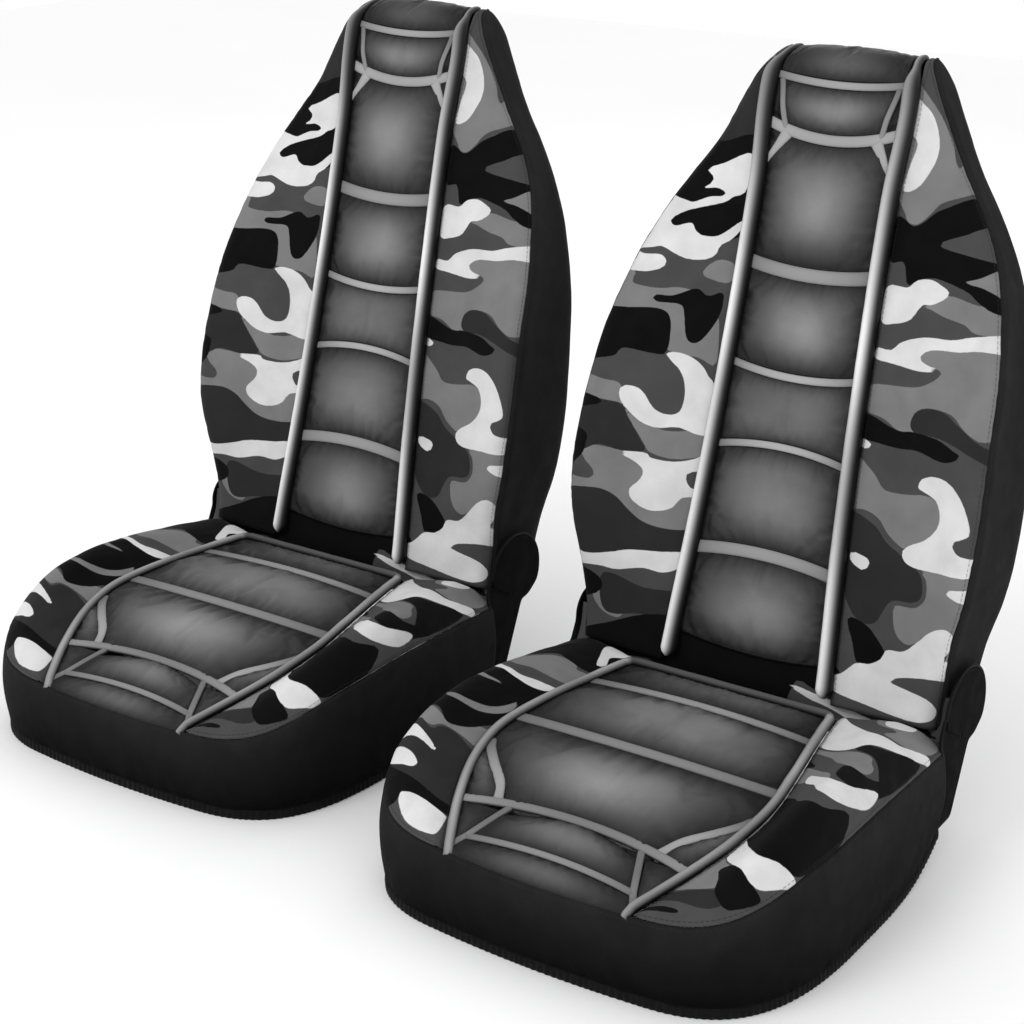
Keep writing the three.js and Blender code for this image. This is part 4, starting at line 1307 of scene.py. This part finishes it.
def gusset(side):
    """The elastic flap with an arched top over the recliner, with a bound edge."""
    arc = np.radians(np.linspace(-26, 188, 40))
    if side == "left":
        pivot_y, radius = PIVOT_Y, 55
        front = [(94, 190), (87, 176), (85, 162), (88, 151), (94, 140), (97, 120), (97, 50)]
    else:
        pivot_y, radius = 158, 32
        front = [(114, 148), (97, 143), (97, 50)]
    outline = np.concatenate([
        [(97, 50), (126, 52), (163, 137), (180, 140)],
        np.stack([pivot_y + radius * np.cos(arc), PIVOT_Z + radius * np.sin(arc)], -1),
        front,
    ])
    length = arc_lengths(outline[None], 1)[0]
    stations = np.linspace(0, length[-1], 121)
    outline = np.stack([np.interp(stations, length, outline[:, k]) for k in (0, 1)], -1)
    outline[1:-1] = (outline[:-2] + 2 * outline[1:-1] + outline[2:]) / 4
    middle = np.array([140.0, 150.0])
    r = np.linspace(0.02, 1, 16)[:, None, None]
    flat = middle + (outline - middle)[None] * r
    reach = r[..., 0]
    uneven = 0.7 * field(flat[..., 0], flat[..., 1], 24, 30, 91) * (1 - reach)
    dome = 1.5 * np.sqrt(1 - 0.96 * reach**2) + uneven
    points = vec(261.2 + dome, flat[..., 0], flat[..., 1])
    off, run = seams(points, ("last",))
    values = {"seam_off": off, "seam_along": run, "knit_tone_and_shade": 0.02}
    cut = points[..., 1:] - points[..., 1:].min((0, 1))
    flap = shell(f"recliner_flap_{side}", points, KNIT_THICKNESS, KNIT, values, cut)
    rim = vec(261.0, outline[:-1, 0], outline[:-1, 1])
    rim = np.concatenate([rim, rim[:1]])
    sides, ups = frame_along(rim, np.broadcast_to([1.0, 0.0, 0.0], rim.shape))
    binding = sweep(f"recliner_binding_{side}", rim, sides, ups, round_section(1.9, 1.7, 10), ELASTIC)
    if side == "right":
        mirror(flap)
        mirror(binding)
    piece(flap, "seat_cover", "elastic", (f"recliner_gusset_{side}",), "sheet")
    piece(binding, "seat_cover", "elastic")


def strap(side):
    start = 33 if side == "left" else 37
    u, w = np.linspace(0, 1, 90)[:, None], np.linspace(-0.5, 0.5, 9)[None, :]
    x = lerp(start, 264, u)
    sag = -2.0 * np.sin(math.pi * np.clip((x - 60) / 90, 0, 1)) if side == "left" else 0
    z = BUCKLE_Z + 1.6 + 16 * smooth((x - 150) / 105) + sag + 0.4 * field(x, w * 25, 30, 30, 95)
    points = sided(vec(x, STRAP_Y + w * (STRAP_WIDTH - 1) + 0 * x, z), side)
    obj = shell(f"under_strap_{side}", points, 1.6, WEBBING)
    bend = ("buckle_plug_body", (230, STRAP_Y, 9), (60, STRAP_Y, 9)) if side == "left" else None
    piece(obj, "seat_cover", "webbing", (f"strap_{side}",), bend=bend)


for side in ("left", "right"):
    back_wing(side)
    back_side(side)
    back_pipe(side)
    seat_wing(side)
    gusset(side)
    strap(side)
back_rear()
back_hem()
pad_trees = finish_pads()
bands(pad_trees)
seat_piping()
skirt()
seat_hem()
crease()


# ---- both covers -------------------------------------------------------------------------------------
def cloth_size(obj):
    """The cut's width, length and area in metres: a little less than the stretched panel's."""
    count = len(obj.data.vertices) // 2
    stretch = 1.04
    uv = np.empty(len(obj.data.loops) * 2)
    obj.data.uv_layers["weave"].data.foreach_get("uv", uv)
    width, length = uv.reshape(-1, 2).max(axis=0)
    area = sum(polygon.area for polygon in obj.data.polygons if max(polygon.vertices) < count)
    width, length = width / stretch, length / stretch
    area = min(max(area / stretch**2, 0.31 * width * length), width * length)
    return float(width), float(length), float(area)


for prefix in COVERS:
    shift = Vector(OFFSET[prefix] / 1000)
    for made in PIECES:
        obj = made["obj"].copy()
        obj.data = made["obj"].data.copy()
        obj.name = obj.data.name = f"{prefix}_{made['name']}"
        bpy.context.scene.collection.objects.link(obj)
        obj.data.transform(Matrix.Translation(shift))
        if made["bend"]:
            other, start, end = made["bend"]
            start, end = (Vector(point) / 1000 + shift for point in (start, end))
            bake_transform(obj)
        else:
            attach(obj, f"{prefix}_{made['body']}")
        if made["replaces"]:
            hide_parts(*[f"{prefix}_{node}" for node in made["replaces"]])
        if made["form"] == "sheet":
            width, length, area = cloth_size(made["obj"])
    for node in ("buckle_socket", "buckle_plug"):
        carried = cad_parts[f"{prefix}_{node}"]
        carried.data.materials.clear()
        carried.data.materials.append(PLASTIC)
for made in PIECES:
    bpy.data.objects.remove(made["obj"])


# ---- floor -------------------------------------------------------------------------------------------
def floor():
    span = np.linspace(-6000, 6000, 25)
    x, y = np.meshgrid(span, span, indexing="ij")
    build("floor", vec(x, y, 0 * x).reshape(-1, 3), grid_faces(25, 25), floor_material())


floor()
